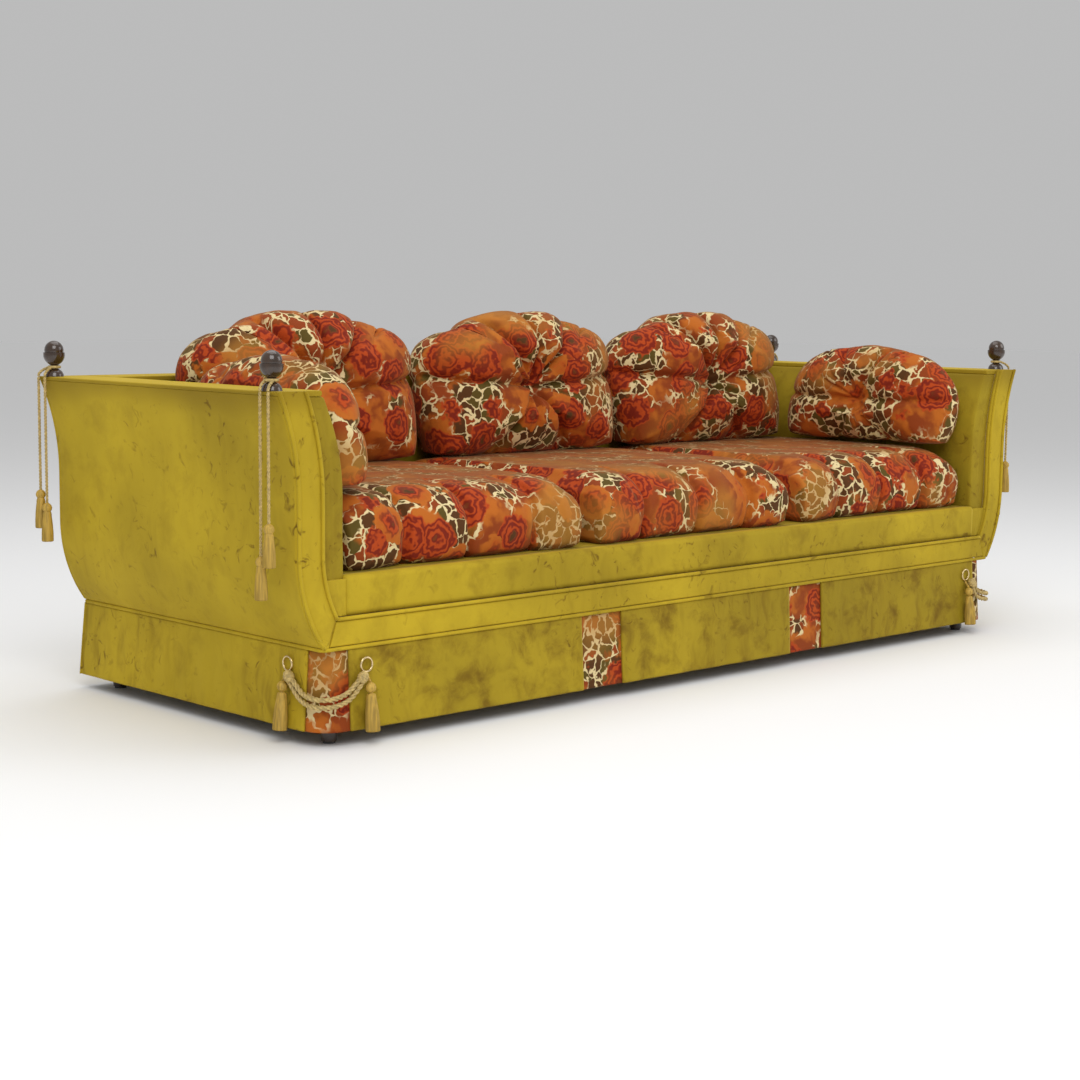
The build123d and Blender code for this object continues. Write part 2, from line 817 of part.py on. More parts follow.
def strand_corners():
    """Each corner's side, finial depth, strand depths and strand drops."""
    for side, side_name in ((-1, "left"), (1, "right")):
        front_y = [finial_front_y + place for place in front_strand_places]
        yield side, f"front_{side_name}", finial_front_y, front_y, front_strand_drops
        rear_y = [finial_rear_y + place for place in rear_strand_places]
        yield side, f"rear_{side_name}", finial_rear_y, rear_y, rear_strand_drops


def lead_route(side, finial_y, strand_y, angle):
    """A lead's points: off the loop, out over the arm's edge and straight down to the strand."""
    way = 1 if strand_y >= finial_y else -1
    start_x = finial_x + loop_radius * math.cos(math.radians(angle))
    start_y = finial_y + way * loop_radius * math.sin(math.radians(angle))
    edge_z = lead_end + cord_lead_rise
    points = [(start_x, start_y, loop_z), (hang_x, strand_y, edge_z), (hang_x, strand_y, lead_end)]
    return [(side * x, y, z) for x, y, z in points]


with BuildPart() as finial_loops:
    for side, corner, finial_y, strand_ys, drops in strand_corners():
        with BuildSketch(standing(side * finial_x, finial_y, loop_z)):
            with Locations((loop_radius, 0)):
                Circle(cord_radius)
        revolve(axis=upright_axis(side * finial_x, finial_y))
        for strand_y, angle in zip(strand_ys, lead_angles):
            route = lead_route(side, finial_y, strand_y, angle)
            radii = tube_radii(route)
            with BuildLine() as lead_path:
                FilletPolyline(*route, radius=radii)
            with BuildSketch(Plane(origin=lead_path.line @ 1, z_dir=lead_path.line % 1)):
                Circle(cord_radius)
            sweep(path=lead_path.wires()[0])
finish(finial_loops, "finial_loops")


def tassel_profile(length, radius, head_radius, head_length, waist_radius, stem_radius):
    """Draw a tassel's half profile down from zero: round head, bound waist and flared skirt."""
    waist_z = -head_length
    Line((0, 0), (stem_radius, 0))
    TangentArc((stem_radius, 0), (head_radius, -head_length / 2), tangent=(1, 0))
    Line((head_radius, -head_length / 2), (waist_radius, waist_z))
    ThreePointArc(
        (waist_radius, waist_z),
        ((waist_radius + radius) / 2 + stem_radius / 2, waist_z - (length - head_length) / 2),
        (radius, -length),
    )
    Polyline((radius, -length), (0, -length), (0, 0))


for side, corner, finial_y, strand_ys, drops in strand_corners():
    with BuildPart() as strands:
        for strand_y, drop in zip(strand_ys, drops):
            with BuildSketch(standing(side * hang_x, strand_y, pivot_z)):
                with BuildLine():
                    ThreePointArc(
                        (0, cord_radius),
                        (cord_radius * math.sqrt(0.5), cord_radius * math.sqrt(0.5)),
                        (cord_radius, 0),
                    )
                    Polyline((cord_radius, 0), (cord_radius, -drop), (0, -drop), (0, cord_radius))
                make_face()
            revolve(axis=upright_axis(side * hang_x, strand_y))
    finish(strands, f"cord_strands_{corner}")
    with BuildPart() as tassels:
        for strand_y, drop in zip(strand_ys, drops):
            with BuildSketch(standing(side * hang_x, strand_y, pivot_z - drop)):
                with BuildLine():
                    tassel_profile(
                        tassel_length,
                        tassel_radius,
                        tassel_head_radius,
                        tassel_head_length,
                        tassel_waist_radius,
                        cord_radius,
                    )
                make_face()
            revolve(axis=upright_axis(side * hang_x, strand_y))
    finish(tassels, f"cord_tassels_{corner}")


# Tie-backs: two rings, a double rope slung round the corner, knots and tassels
def skirt_out(z):
    """How far the skirt's face leans out at height z."""
    return skirt_flare * (skirt_top - z) / (skirt_top - skirt_hem)


def round_corner(point):
    """The same place on the other face of the right front corner, mirrored in the corner's diagonal."""
    x, y, z = point
    return (half_base + front - y, front + half_base - x, z)


ring_x = half_base - ring_from_corner
ring_outer = ring_radius + ring_wire_radius
ring_y = front - skirt_out(ring_height - ring_outer) - ring_wire_radius - fit
with BuildPart() as tieback_rings:
    with BuildSketch(Plane(origin=(ring_x, ring_y, ring_height), x_dir=(1, 0, 0), z_dir=(0, 0, 1))):
        with Locations((ring_radius, 0)):
            Circle(ring_wire_radius)
    revolve(axis=Axis((ring_x, ring_y, ring_height), (0, 1, 0)))
    other_ring = round_corner((ring_x, ring_y, ring_height))
    with BuildSketch(Plane(origin=other_ring, x_dir=(0, 1, 0), z_dir=(0, 0, 1))):
        with Locations((ring_radius, 0)):
            Circle(ring_wire_radius)
    revolve(axis=Axis(other_ring, (1, 0, 0)))
    mirror(about=Plane.YZ)
finish(tieback_rings, "tieback_rings")

rope_radius = rope_diameter / 2
knot_y = front - skirt_out(ring_height - knot_length) - knot_radius - fit


def rope_route(points):
    """A rope's route from the front knot round the corner to the side knot; points are from the corner, up."""
    route = []
    for distance, z in points:
        y = front - skirt_out(z) - rope_radius - rope_stand
        route.append((half_base - distance, y, z))
    route[0] = (route[0][0], knot_y, route[0][2])
    last_x, _, last_z = route[-1]
    route[-1] = (last_x, front - rope_radius - rope_stand - rope_corner_stand, last_z)
    return route + [round_corner(point) for point in reversed(route)]


with BuildPart() as tieback_ropes:
    for points in (upper_rope_points, lower_rope_points):
        route = rope_route(points)
        radii = tube_radii(route)
        with BuildLine() as rope_path:
            FilletPolyline(*route, radius=radii)
        with BuildSketch(Plane(origin=rope_path.line @ 0, z_dir=rope_path.line % 0)):
            Circle(rope_radius)
        sweep(path=rope_path.wires()[0])
    mirror(about=Plane.YZ)
finish(tieback_ropes, "tieback_ropes")

with BuildPart() as tieback_knots:
    slope = math.radians(knot_slope)
    way = Vector(math.cos(slope), 0, -math.sin(slope))
    near = Vector(ring_x, knot_y, ring_height) + way * (ring_outer + fit)
    knot_origins = ((near, way), (Vector(*round_corner(near)), Vector(0, -way.X, way.Z)))
    for origin, along in knot_origins:
        knot_plane = Plane(origin=origin, x_dir=along, z_dir=along.cross(Vector(0, 0, 1)))
        with BuildSketch(knot_plane):
            with BuildLine():
                Polyline(
                    (0, 0),
                    (0, knot_end_radius),
                    (knot_shoulder_run, knot_shoulder_radius),
                    (knot_crown_run, knot_radius),
                    (knot_length - knot_crown_run, knot_radius),
                    (knot_length - knot_shoulder_run, knot_shoulder_radius),
                    (knot_length, knot_end_radius),
                    (knot_length, 0),
                    (0, 0),
                )
            make_face()
        revolve(axis=Axis(origin, along))
    mirror(about=Plane.YZ)
finish(tieback_knots, "tieback_knots")

stem_z = ring_height - ring_outer - tie_stem_radius - fit
stem_top = (ring_x, front - skirt_out(stem_z) - tie_stem_radius - fit, stem_z)
head_z = stem_z - tie_stem_length
head_y = front - skirt_out(head_z - tassel_head_length) - tie_tassel_head_radius - tie_head_stand
tassel_head = (ring_x, head_y, head_z)
tassel_foot_y = front - skirt_flare - tie_tassel_radius - tie_tassel_stand
tassel_foot = (ring_x, tassel_foot_y, head_z - tie_tassel_length)


def hanging_plane(start, end):
    """Plane of a half profile whose axis runs down from start to end, and that axis."""
    down = (Vector(*end) - Vector(*start)).normalized()
    across = down.cross(Vector(0, 0, 1)).normalized()
    return Plane(origin=start, x_dir=across, z_dir=across.cross(-down)), Axis(start, down)


def tie_tassel(name, stem, head, foot):
    """A tassel on a slanted stem with a ball top, lying on the skirt; and its twin on the left."""
    stem_plane, stem_axis = hanging_plane(stem, head)
    stem_run = math.dist(stem, head)
    head_plane, head_axis = hanging_plane(head, foot)
    with BuildPart() as tassel:
        with BuildSketch(stem_plane):
            with BuildLine():
                ball_arc((tie_stem_radius, 0), (0, tie_stem_radius))
                Polyline((0, tie_stem_radius), (0, -stem_run), (tie_stem_radius, -stem_run), (tie_stem_radius, 0))
            make_face()
        revolve(axis=stem_axis)
        with BuildSketch(head_plane):
            with BuildLine():
                tassel_profile(
                    tie_tassel_length,
                    tie_tassel_radius,
                    tie_tassel_head_radius,
                    tassel_head_length,
                    tie_tassel_waist_radius,
                    tie_stem_radius,
                )
            make_face()
        revolve(axis=head_axis)
    finish_pair(tassel, name)


tassel_line = (stem_top, tassel_head, tassel_foot)
tie_tassel("tieback_tassel_front", *tassel_line)
tie_tassel("tieback_tassel_side", *[round_corner(point) for point in tassel_line])


# Seat cushions: crowned, with gathered channels along the front and sides that draw in
def seat_section(pull, drop, crown_drop, rear_drop):
    """Draw a seat cushion's side profile; the front pulls back and the top drops in the channels."""
    nose = front - seat_front_stand + pull + facing_welt_height
    bottom = seat_line + fit
    back = back_face - fit
    nose_top = (nose + seat_nose_depth, seat_front_top - drop)
    nose_front = (nose, nose_top[1] - seat_nose_height)
    bend = 1 - math.sqrt(0.5)
    Line((nose + seat_under_cut, bottom), (back, bottom))
    Line((back, bottom), (back, seat_rear_top - rear_drop))
    ThreePointArc(
        (back, seat_rear_top - rear_drop),
        ((back + nose_top[0]) / 2, seat_crown - crown_drop),
        nose_top,
    )
    ThreePointArc(
        nose_top,
        (nose + seat_nose_depth * bend, nose_top[1] - seat_nose_height * bend),
        nose_front,
    )
    ThreePointArc(
        nose_front,
        (nose + seat_under_cut * seat_under_bow, (nose_front[1] + bottom) / 2),
        (nose + seat_under_cut, bottom),
    )


def seat_cushion(name, centre):
    """A seat cushion of gathered puffs, each lofted from channel to crest to channel, the outer ones drawn in."""
    with BuildPart() as cushion:
        stations = 2 * channels
        for channel in range(channels):
            for station in range(2 * channel, 2 * channel + 3):
                if station in (0, stations):
                    shape = (side_pull, side_drop, side_drop, side_drop / 2)
                elif station % 2:
                    shape = (0, 0, 0, 0)
                else:
                    shape = (channel_depth, channel_drop, channel_drop_crown, 0)
                x = centre - cushion_width / 2 + cushion_width * station / stations
                with BuildSketch(Plane.YZ.offset(x)):
                    with BuildLine():
                        seat_section(*shape)
                    make_face()
            loft()
    finish(cushion, name)


seats = (("left", -cushion_pitch), ("centre", 0.0), ("right", cushion_pitch))
for place, x in seats:
    seat_cushion(f"seat_cushion_{place}", x)


# Back and arm cushions: a scalloped outline swells from a flat back and gathers at the centre of the front
def gathered_cushion(name, plane, half_width, rise, centre, angles, swell, foot, third, sections):
    """A cushion lofted through its outline at several depths, each scaled about the gathered centre."""
    with BuildPart() as cushion:
        for depth, upper, lower in sections:
            with BuildSketch(plane.offset(depth)):
                with BuildLine():
                    ribs = [math.radians(angle) for angle in angles]
                    points = [
                        (upper * half_width * math.cos(rib), centre + upper * rise * math.sin(rib)) for rib in ribs
                    ]
                    for rib, after, start, end in zip(ribs, ribs[1:], points, points[1:]):
                        middle = (rib + after) / 2
                        crest = (
                            upper * swell * half_width * math.cos(middle),
                            centre + upper * swell * rise * math.sin(middle),
                        )
                        ThreePointArc(start, crest, end)
                    base = centre - lower * (centre - foot_swell)
                    feet = [(lower * x, base) for x in (-foot, -third, third, foot)]
                    for start, end, out in (
                        (points[-1], feet[0], (-side_swell, 0)),
                        (feet[0], feet[1], (0, -foot_swell)),
                        (feet[1], feet[2], (0, -foot_swell)),
                        (feet[2], feet[3], (0, -foot_swell)),
                        (feet[3], points[0], (side_swell, 0)),
                    ):
                        middle = (
                            (start[0] + end[0]) / 2 + lower * out[0],
                            (start[1] + end[1]) / 2 + lower * out[1],
                        )
                        ThreePointArc(start, middle, end)
                make_face()
        loft()
    finish(cushion, name)


back_lean = math.radians(back_cushion_lean)
back_seat_z = seat_rear_top + (seat_crown - seat_rear_top) / 2 + fit
back_seat_y = back_face - fit - (arm_top - back_seat_z) * math.tan(back_lean)
for place, x in seats:
    gathered_cushion(
        f"back_cushion_{place}",
        Plane(
            origin=(x * back_cushion_width / cushion_pitch, back_seat_y, back_seat_z),
            x_dir=(1, 0, 0),
            z_dir=(0, -math.cos(back_lean), math.sin(back_lean)),
        ),
        (back_cushion_width - side_swell) / 2,
        back_cushion_rise,
        back_cushion_centre,
        back_lobe_angles,
        back_lobe_swell,
        back_cushion_foot,
        back_cushion_foot_third,
        back_cushion_sections,
    )

arm_lean = math.radians(arm_cushion_lean)
arm_seat_y = front + arm_cushion_front_gap + arm_cushion_length / 2
for place, side in (("left", -1), ("right", 1)):
    gathered_cushion(
        f"arm_cushion_{place}",
        Plane(
            origin=(side * (inner_waist - arm_cushion_stand), arm_seat_y, seat_crown + fit),
            x_dir=(0, -side, 0),
            z_dir=(-side * math.cos(arm_lean), 0, math.sin(arm_lean)),
        ),
        arm_cushion_length / 2,
        arm_cushion_rise,
        arm_cushion_centre,
        arm_lobe_angles,
        arm_lobe_swell,
        arm_cushion_foot,
        arm_cushion_foot_third,
        arm_cushion_sections,
    )
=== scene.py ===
import math

import bpy
import numpy as np
from mathutils import Matrix, Vector


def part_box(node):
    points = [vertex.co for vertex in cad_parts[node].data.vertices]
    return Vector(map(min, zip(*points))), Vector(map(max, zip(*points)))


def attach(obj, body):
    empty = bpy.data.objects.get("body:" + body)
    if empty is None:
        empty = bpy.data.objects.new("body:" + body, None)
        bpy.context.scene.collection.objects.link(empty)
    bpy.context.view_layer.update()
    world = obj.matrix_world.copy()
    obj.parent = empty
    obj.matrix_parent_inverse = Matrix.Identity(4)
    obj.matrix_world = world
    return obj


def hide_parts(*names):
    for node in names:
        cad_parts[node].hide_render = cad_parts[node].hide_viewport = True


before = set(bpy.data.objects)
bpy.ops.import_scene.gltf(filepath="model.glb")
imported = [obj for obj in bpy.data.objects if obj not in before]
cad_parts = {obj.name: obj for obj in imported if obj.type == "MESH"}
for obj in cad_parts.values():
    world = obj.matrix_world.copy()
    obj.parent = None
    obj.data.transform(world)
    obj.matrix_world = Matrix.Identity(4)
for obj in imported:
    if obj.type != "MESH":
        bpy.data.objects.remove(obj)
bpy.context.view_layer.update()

bl_info = {
    "name": "Velvet sofa",
    "version": (1, 0, 0),
    "blender": (4, 5, 0),
    "location": "View3D > Sidebar > Sofa",
    "description": "Dresses a sofa frame with velvet covers, gathered cushions, cords and tassels",
    "category": "Object",
}

MM = 0.001
SIDES = (("left", -1), ("right", 1))
PLACES = ("left", "centre", "right")
ENDS = ("front", "rear")
ROUND_STEPS = 6

# Curves and thicknesses of the covers, in metres
ARM_BULGE = 60 * MM
ARM_FLARE = 47 * MM
INSIDE_FLARE = 54 * MM
WAIST_LOW = 390 * MM
WAIST_HIGH = 500 * MM
FACING_WIDTH = 66 * MM
MITRE_FOOT = 19 * MM
WELT_RADIUS = 4 * MM
COVER = 8 * MM
COVER_ROUND = 2.5 * MM
COVER_STEP = 9 * MM
CAP_ROUND = 3 * MM
BAND = 14 * MM
SEAM_GAP = 0.3 * MM
RAIL_TOP = 306 * MM
LINING_FOOT = 300 * MM

# Sizes of the body, as the frame has them
ARM_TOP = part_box("outside_back")[1][2]
BASE_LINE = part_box("outside_back")[0][2]
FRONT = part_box("front_border")[0][1]
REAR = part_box("outside_back")[1][1]
HALF_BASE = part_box("front_border")[1][0] + MITRE_FOOT
BORDER_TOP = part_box("front_border")[1][2]
SEAT_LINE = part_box("seat_deck_pad")[1][2]
DECK_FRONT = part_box("seat_deck_pad")[0][1]
BACK_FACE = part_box("inside_back_pad")[0][1]
PAD_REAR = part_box("inside_back_pad")[1][1]
INNER_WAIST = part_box("inside_arm_pad_right")[0][0]
CAP_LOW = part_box("top_caps")[0][2]
SKIRT_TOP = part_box("skirt_rear")[1][2]
SKIRT_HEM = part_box("skirt_rear")[0][2]
SKIRT_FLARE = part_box("skirt_rear")[1][1] - REAR
FRAME_REAR = REAR - COVER
RAIL_FRONT = FRONT + BAND
LIP_FRONT = FRONT + 6 * MM
WAIST = HALF_BASE + ARM_BULGE


def arc_radius(rise, reach):
    """Radius of an arc that leaves the upright and moves out by reach over a height of rise."""
    return (rise**2 + reach**2) / (2 * reach)


FLARE_RADIUS = arc_radius(ARM_TOP - WAIST_HIGH, ARM_FLARE)
TUCK_RADIUS = arc_radius(WAIST_LOW - BASE_LINE, ARM_BULGE)
INSIDE_RADIUS = arc_radius(ARM_TOP - WAIST_HIGH, INSIDE_FLARE)


def arm_outside(z, inset=0.0):
    """Half width of the arm's ogee at height z: an arc outwards over the waist, a line, and an arc inwards
    under it."""
    z = np.asarray(z, float)
    over, under = np.maximum(z - WAIST_HIGH, 0), np.maximum(WAIST_LOW - z, 0)
    flare = WAIST + FLARE_RADIUS - np.sqrt((FLARE_RADIUS + inset) ** 2 - over**2)
    tuck = WAIST - TUCK_RADIUS + np.sqrt((TUCK_RADIUS - inset) ** 2 - under**2)
    return np.where(z > WAIST_HIGH, flare, tuck)


def arm_inside(z, gap=0.0):
    """Half width between the arms at height z: a line up to the waist and an arc outwards over it."""
    over = np.maximum(np.asarray(z, float) - WAIST_HIGH, 0)
    return INNER_WAIST + INSIDE_RADIUS - np.sqrt((INSIDE_RADIUS + gap) ** 2 - over**2)


def mitre_line(z):
    """Half width of the cut between the border and a facing at height z: a straight line from the foot to the
    facing's inner edge."""
    foot, top = HALF_BASE - MITRE_FOOT, float(arm_outside(BORDER_TOP, FACING_WIDTH))
    return foot + (top - foot) * (z - BASE_LINE) / (BORDER_TOP - BASE_LINE)


# Meshes from arrays of points


def joined(x, y, z):
    """Points from arrays of X, Y and Z that stretch to one shape."""
    return np.stack(np.broadcast_arrays(x, y, z), -1)


def skin(name, patches, finish):
    """A mesh over patches of rings: rings[i, j] is point j of ring i. Every ring closes on itself, and the end
    rings close by strips between point j and point n - 1 - j. A patch paired with True closes lengthwise."""
    points, faces = [], []
    start = 0
    for patch in patches:
        rings, loop = patch if isinstance(patch, tuple) else (patch, False)
        rows, columns = rings.shape[:2]
        i, j = np.meshgrid(np.arange(rows if loop else rows - 1), np.arange(columns), indexing="ij")
        i, j = i.ravel(), j.ravel()
        k, right = (i + 1) % rows, (j + 1) % columns
        quads = [np.stack([i * columns + j, i * columns + right, k * columns + right, k * columns + j], 1)]
        if not loop:
            half = np.arange(columns // 2 - 1)
            strip = np.stack([half, columns - 1 - half, columns - 2 - half, half + 1], 1)
            quads += [strip, strip[:, ::-1] + (rows - 1) * columns]
        flat = rings.reshape(-1, 3)
        points.append(flat)
        faces.append(turned_out(flat, np.concatenate(quads)) + start)
        start += len(flat)
    return mesh_object(name, np.concatenate(points), np.concatenate(faces), finish)


def turned_out(points, quads):
    """Faces that point outwards: turned round if the sum of their tetrahedra about the middle is negative."""
    a, b, c, d = np.moveaxis(points[quads] - points.mean(axis=0), 1, 0)
    volume = np.sum(a * np.cross(b, c)) + np.sum(a * np.cross(c, d))
    return quads[:, ::-1] if volume < 0 else quads


def mesh_object(name, points, quads, finish, smooth=True):
    """An object at the origin with these points, four-sided faces and finish."""
    mesh = bpy.data.meshes.new(name)
    mesh.vertices.add(len(points))
    mesh.vertices.foreach_set("co", np.ascontiguousarray(points, np.float32).ravel())
    mesh.loops.add(quads.size)
    mesh.loops.foreach_set("vertex_index", np.ascontiguousarray(quads, np.int32).ravel())
    mesh.polygons.add(len(quads))
    mesh.polygons.foreach_set("loop_start", np.arange(0, quads.size, 4, dtype=np.int32))
    mesh.polygons.foreach_set("use_smooth", np.full(len(quads), smooth))
    mesh.update(calc_edges=True)
    mesh.validate()
    mesh.materials.append(bpy.data.materials[finish])
    piece = bpy.data.objects.new(name, mesh)
    bpy.context.scene.collection.objects.link(piece)
    return piece


def place(piece, body, slot, *nodes):
    """Tie a piece to its body and hide the solids that it stands for; the slot is not used."""
    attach(piece, body)
    if nodes:
        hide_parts(*nodes)
    return piece


def covered(name, patches, finish, *nodes, fill=None):
    """A velvet piece of the fixed body; the fill is not used."""
    piece = place(skin(name, patches, finish), "frame", "olive_velvet", *nodes)
    return piece if fill else piece


def soft_steps(low, high, rounding, step):
    """Places from low to high, close together near both ends, and how far the piece draws in at each: a quarter
    circle of the rounding at each end."""
    turn = np.linspace(0, math.pi / 2, ROUND_STEPS)
    lead = rounding * (1 - np.cos(turn))
    inset = rounding * (1 - np.sin(turn))
    count = max(2, int((high - low - 2 * rounding) / step))
    middle = np.linspace(low + rounding, high - rounding, count)[1:-1]
    places = np.concatenate([low + lead, middle, high - lead[::-1]])
    insets = np.concatenate([inset, np.zeros(len(middle)), inset[::-1]])
    return places, insets


def slab_loop(width, depth, rounding, steps):
    """A closed loop round a rectangle centred on zero: even steps along its two long sides and quarter circles
    at its corners."""
    turn = np.linspace(0, math.pi / 2, ROUND_STEPS)
    along = np.linspace(rounding - width / 2, width / 2 - rounding, steps)
    right = np.stack([np.sin(turn), 1 - np.cos(turn)], 1) * rounding + (width / 2 - rounding, -depth / 2)
    lower = np.concatenate([np.stack([along, np.full(steps, -depth / 2)], 1), right[1:]])
    left = (right * (-1, 1))[::-1]
    return np.concatenate([left[:-1], lower, lower[::-1] * (1, -1), (left * (1, -1))[::-1][1:]])


def ripple(points, seed, scale, strength):
    """Soft unevenness of a cover: a sum of a few slow waves in fixed directions drawn from the seed."""
    draw = np.random.default_rng(seed)
    total = np.zeros(points.shape[:-1])
    for octave in range(5):
        ways = draw.normal(size=(3,))
        ways *= 2 * math.pi / (scale / (1 + 0.6 * octave)) / np.linalg.norm(ways)
        total += np.sin(points @ ways + draw.uniform(0, 2 * math.pi)) / (1 + 0.6 * octave)
    return strength * total / 2.4


# Materials

OLIVE_LEAF = (0.095, 0.062, 0.008)
BROWN_LEAF = (0.085, 0.03, 0.005)
RUST = (0.25, 0.043, 0.005)
ORANGE = (0.46, 0.12, 0.011)
DEEP_RED = (0.19, 0.014, 0.003)
ROSE = (0.43, 0.055, 0.006)
CREAM = (0.72, 0.58, 0.3)
TAN = (0.44, 0.19, 0.026)
# Painted sheen colour of the cut velvet at grazing angles
PAINTED_SHEEN_BROWN = (0.24, 0.08, 0.008)


def add_node(tree, kind, links=(), **values):
    """A node of a tree: links is pairs of input name and socket, values set its properties or inputs."""
    made = tree.nodes.new(kind)
    for key, value in values.items():
        if hasattr(made, key):
            setattr(made, key, value)
        else:
            made.inputs[key.replace("_", " ")].default_value = value
    for name, socket in links:
        tree.links.new(socket, made.inputs[name])
    return made


def noise_node(tree, vector, scale, detail, **values):
    """A noise texture read at a vector."""
    return add_node(tree, "ShaderNodeTexNoise", [("Vector", vector)], Scale=scale, Detail=detail, **values)


def maths(tree, operation, first, second=None, clamp=False):
    """A maths node on one or two sockets or numbers; gives its value socket."""
    made = tree.nodes.new("ShaderNodeMath")
    made.operation = operation
    made.use_clamp = clamp
    for index, value in enumerate((first, second)):
        if isinstance(value, bpy.types.NodeSocket):
            tree.links.new(value, made.inputs[index])
        elif value is not None:
            made.inputs[index].default_value = value
    return made.outputs[0]


def step_mask(tree, value, low, high):
    """A mask that rises from 0 to 1 as the value goes from low to high."""
    made = tree.nodes.new("ShaderNodeMapRange")
    made.interpolation_type = "SMOOTHSTEP"
    tree.links.new(value, made.inputs["Value"])
    made.inputs["From Min"].default_value = low
    made.inputs["From Max"].default_value = high
    return made.outputs["Result"]


def mix_colour(tree, factor, first, second):
    """A mix of two colours, each a socket or a colour, by a factor."""
    made = tree.nodes.new("ShaderNodeMix")
    made.data_type = "RGBA"
    for socket, value in zip((made.inputs[0], made.inputs[6], made.inputs[7]), (factor, first, second)):
        if isinstance(value, bpy.types.NodeSocket):
            tree.links.new(value, socket)
        elif socket is made.inputs[0]:
            socket.default_value = value
        else:
            socket.default_value = (*value[:3], 1)
    return made.outputs[2]


def new_group(name, inputs, outputs):
    """An empty shader group with named sockets; gives the tree, its input node and its output node."""
    tree = bpy.data.node_groups.new(name, "ShaderNodeTree")
    for label, kind, default in inputs:
        socket = tree.interface.new_socket(label, in_out="INPUT", socket_type=kind)
        if default is not None:
            socket.default_value = default
    for label, kind in outputs:
        tree.interface.new_socket(label, in_out="OUTPUT", socket_type=kind)
    return tree, tree.nodes.new("NodeGroupInput"), tree.nodes.new("NodeGroupOutput")


def warped(tree, vector, read_at, scale, detail, amount):
    """A vector pushed about by a noise that is read at another place; gives its socket."""
    push = noise_node(tree, read_at, scale, detail).outputs["Color"]
    push = add_node(tree, "ShaderNodeVectorMath", [(0, push)], operation="SCALE", Scale=amount)
    moved = add_node(tree, "ShaderNodeVectorMath", [(0, vector), (1, push.outputs[0])], operation="ADD")
    return moved.outputs[0]


def nap_group():
    """Crushed pile: upright streaks, small bent marks and soft blotches, as a mask of how far the pile is
    turned, and a height."""
    tree, given, out = new_group(
        "crushed_nap",
        [
            ("Vector", "NodeSocketVector", None),
            ("Streak", "NodeSocketFloat", 0.5),
            ("Mottle", "NodeSocketFloat", 0.2),
        ],
        [("Mask", "NodeSocketFloat"), ("Height", "NodeSocketFloat")],
    )
    vector = given.outputs["Vector"]
    moved = warped(tree, vector, vector, 9.0, 2.0, 0.07)
    marks = noise_node(tree, moved, 34.0, 3.0, Distortion=1.4)
    broad = noise_node(tree, moved, 4.0, 4.0)
    squeeze = add_node(tree, "ShaderNodeMapping", [("Vector", moved)], Scale=(42.0, 42.0, 5.0))
    streaks = noise_node(tree, squeeze.outputs[0], 1.0, 2.0)
    dark = maths(tree, "MULTIPLY", step_mask(tree, marks.outputs[0], 0.56, 0.78), 0.85)
    lines = step_mask(tree, streaks.outputs[0], 0.42, 0.85)
    lines = maths(tree, "MULTIPLY", lines, given.outputs["Streak"])
    both = maths(tree, "MAXIMUM", dark, lines)
    patchy = step_mask(tree, broad.outputs[0], 0.36, 0.66)
    both = maths(tree, "MULTIPLY", both, maths(tree, "ADD", maths(tree, "MULTIPLY", patchy, 0.75), 0.25))
    both = maths(tree, "ADD", both, maths(tree, "MULTIPLY", patchy, 0.2), True)
    blotch = noise_node(tree, moved, 12.0, 5.0, Roughness=0.62)
    blotches = maths(tree, "MULTIPLY", step_mask(tree, blotch.outputs[0], 0.4, 0.76), given.outputs["Mottle"])
    both = maths(tree, "MAXIMUM", both, blotches)
    pile = noise_node(tree, vector, 700.0, 1.0)
    height = maths(tree, "SUBTRACT", maths(tree, "MULTIPLY", pile.outputs[0], 0.25), both)
    tree.links.new(both, out.inputs["Mask"])
    tree.links.new(height, out.inputs["Height"])


def principled(name):
    """A new material with only a Principled shader; gives its tree and the shader."""
    material = bpy.data.materials.new(name)
    material.use_nodes = True
    return material.node_tree, material.node_tree.nodes["Principled BSDF"]


def use_group(tree, name, where, **values):
    """A shared group in a material, read at a vector."""
    group = bpy.data.node_groups[name]
    return add_node(tree, "ShaderNodeGroup", [("Vector", where)], node_tree=group, **values)


def bump(tree, height, distance, strength):
    """A bump from a height socket; gives the normal socket."""
    made = add_node(tree, "ShaderNodeBump", [("Height", height)], Distance=distance, Strength=strength)
    return made.outputs["Normal"]


def set_inputs(node, **values):
    """Set a node's inputs by name, with _ for each blank."""
    for key, value in values.items():
        node.inputs[key.replace("_", " ")].default_value = value


def finish_pile(tree, shader, colour, height, relief, roughness):
    """Connect a pile's colour and height to its shader and set its roughness."""
    tree.links.new(colour, shader.inputs["Base Color"])
    tree.links.new(bump(tree, height, relief, 0.5), shader.inputs["Normal"])
    set_inputs(shader, Roughness=roughness, Specular_IOR_Level=0.2)


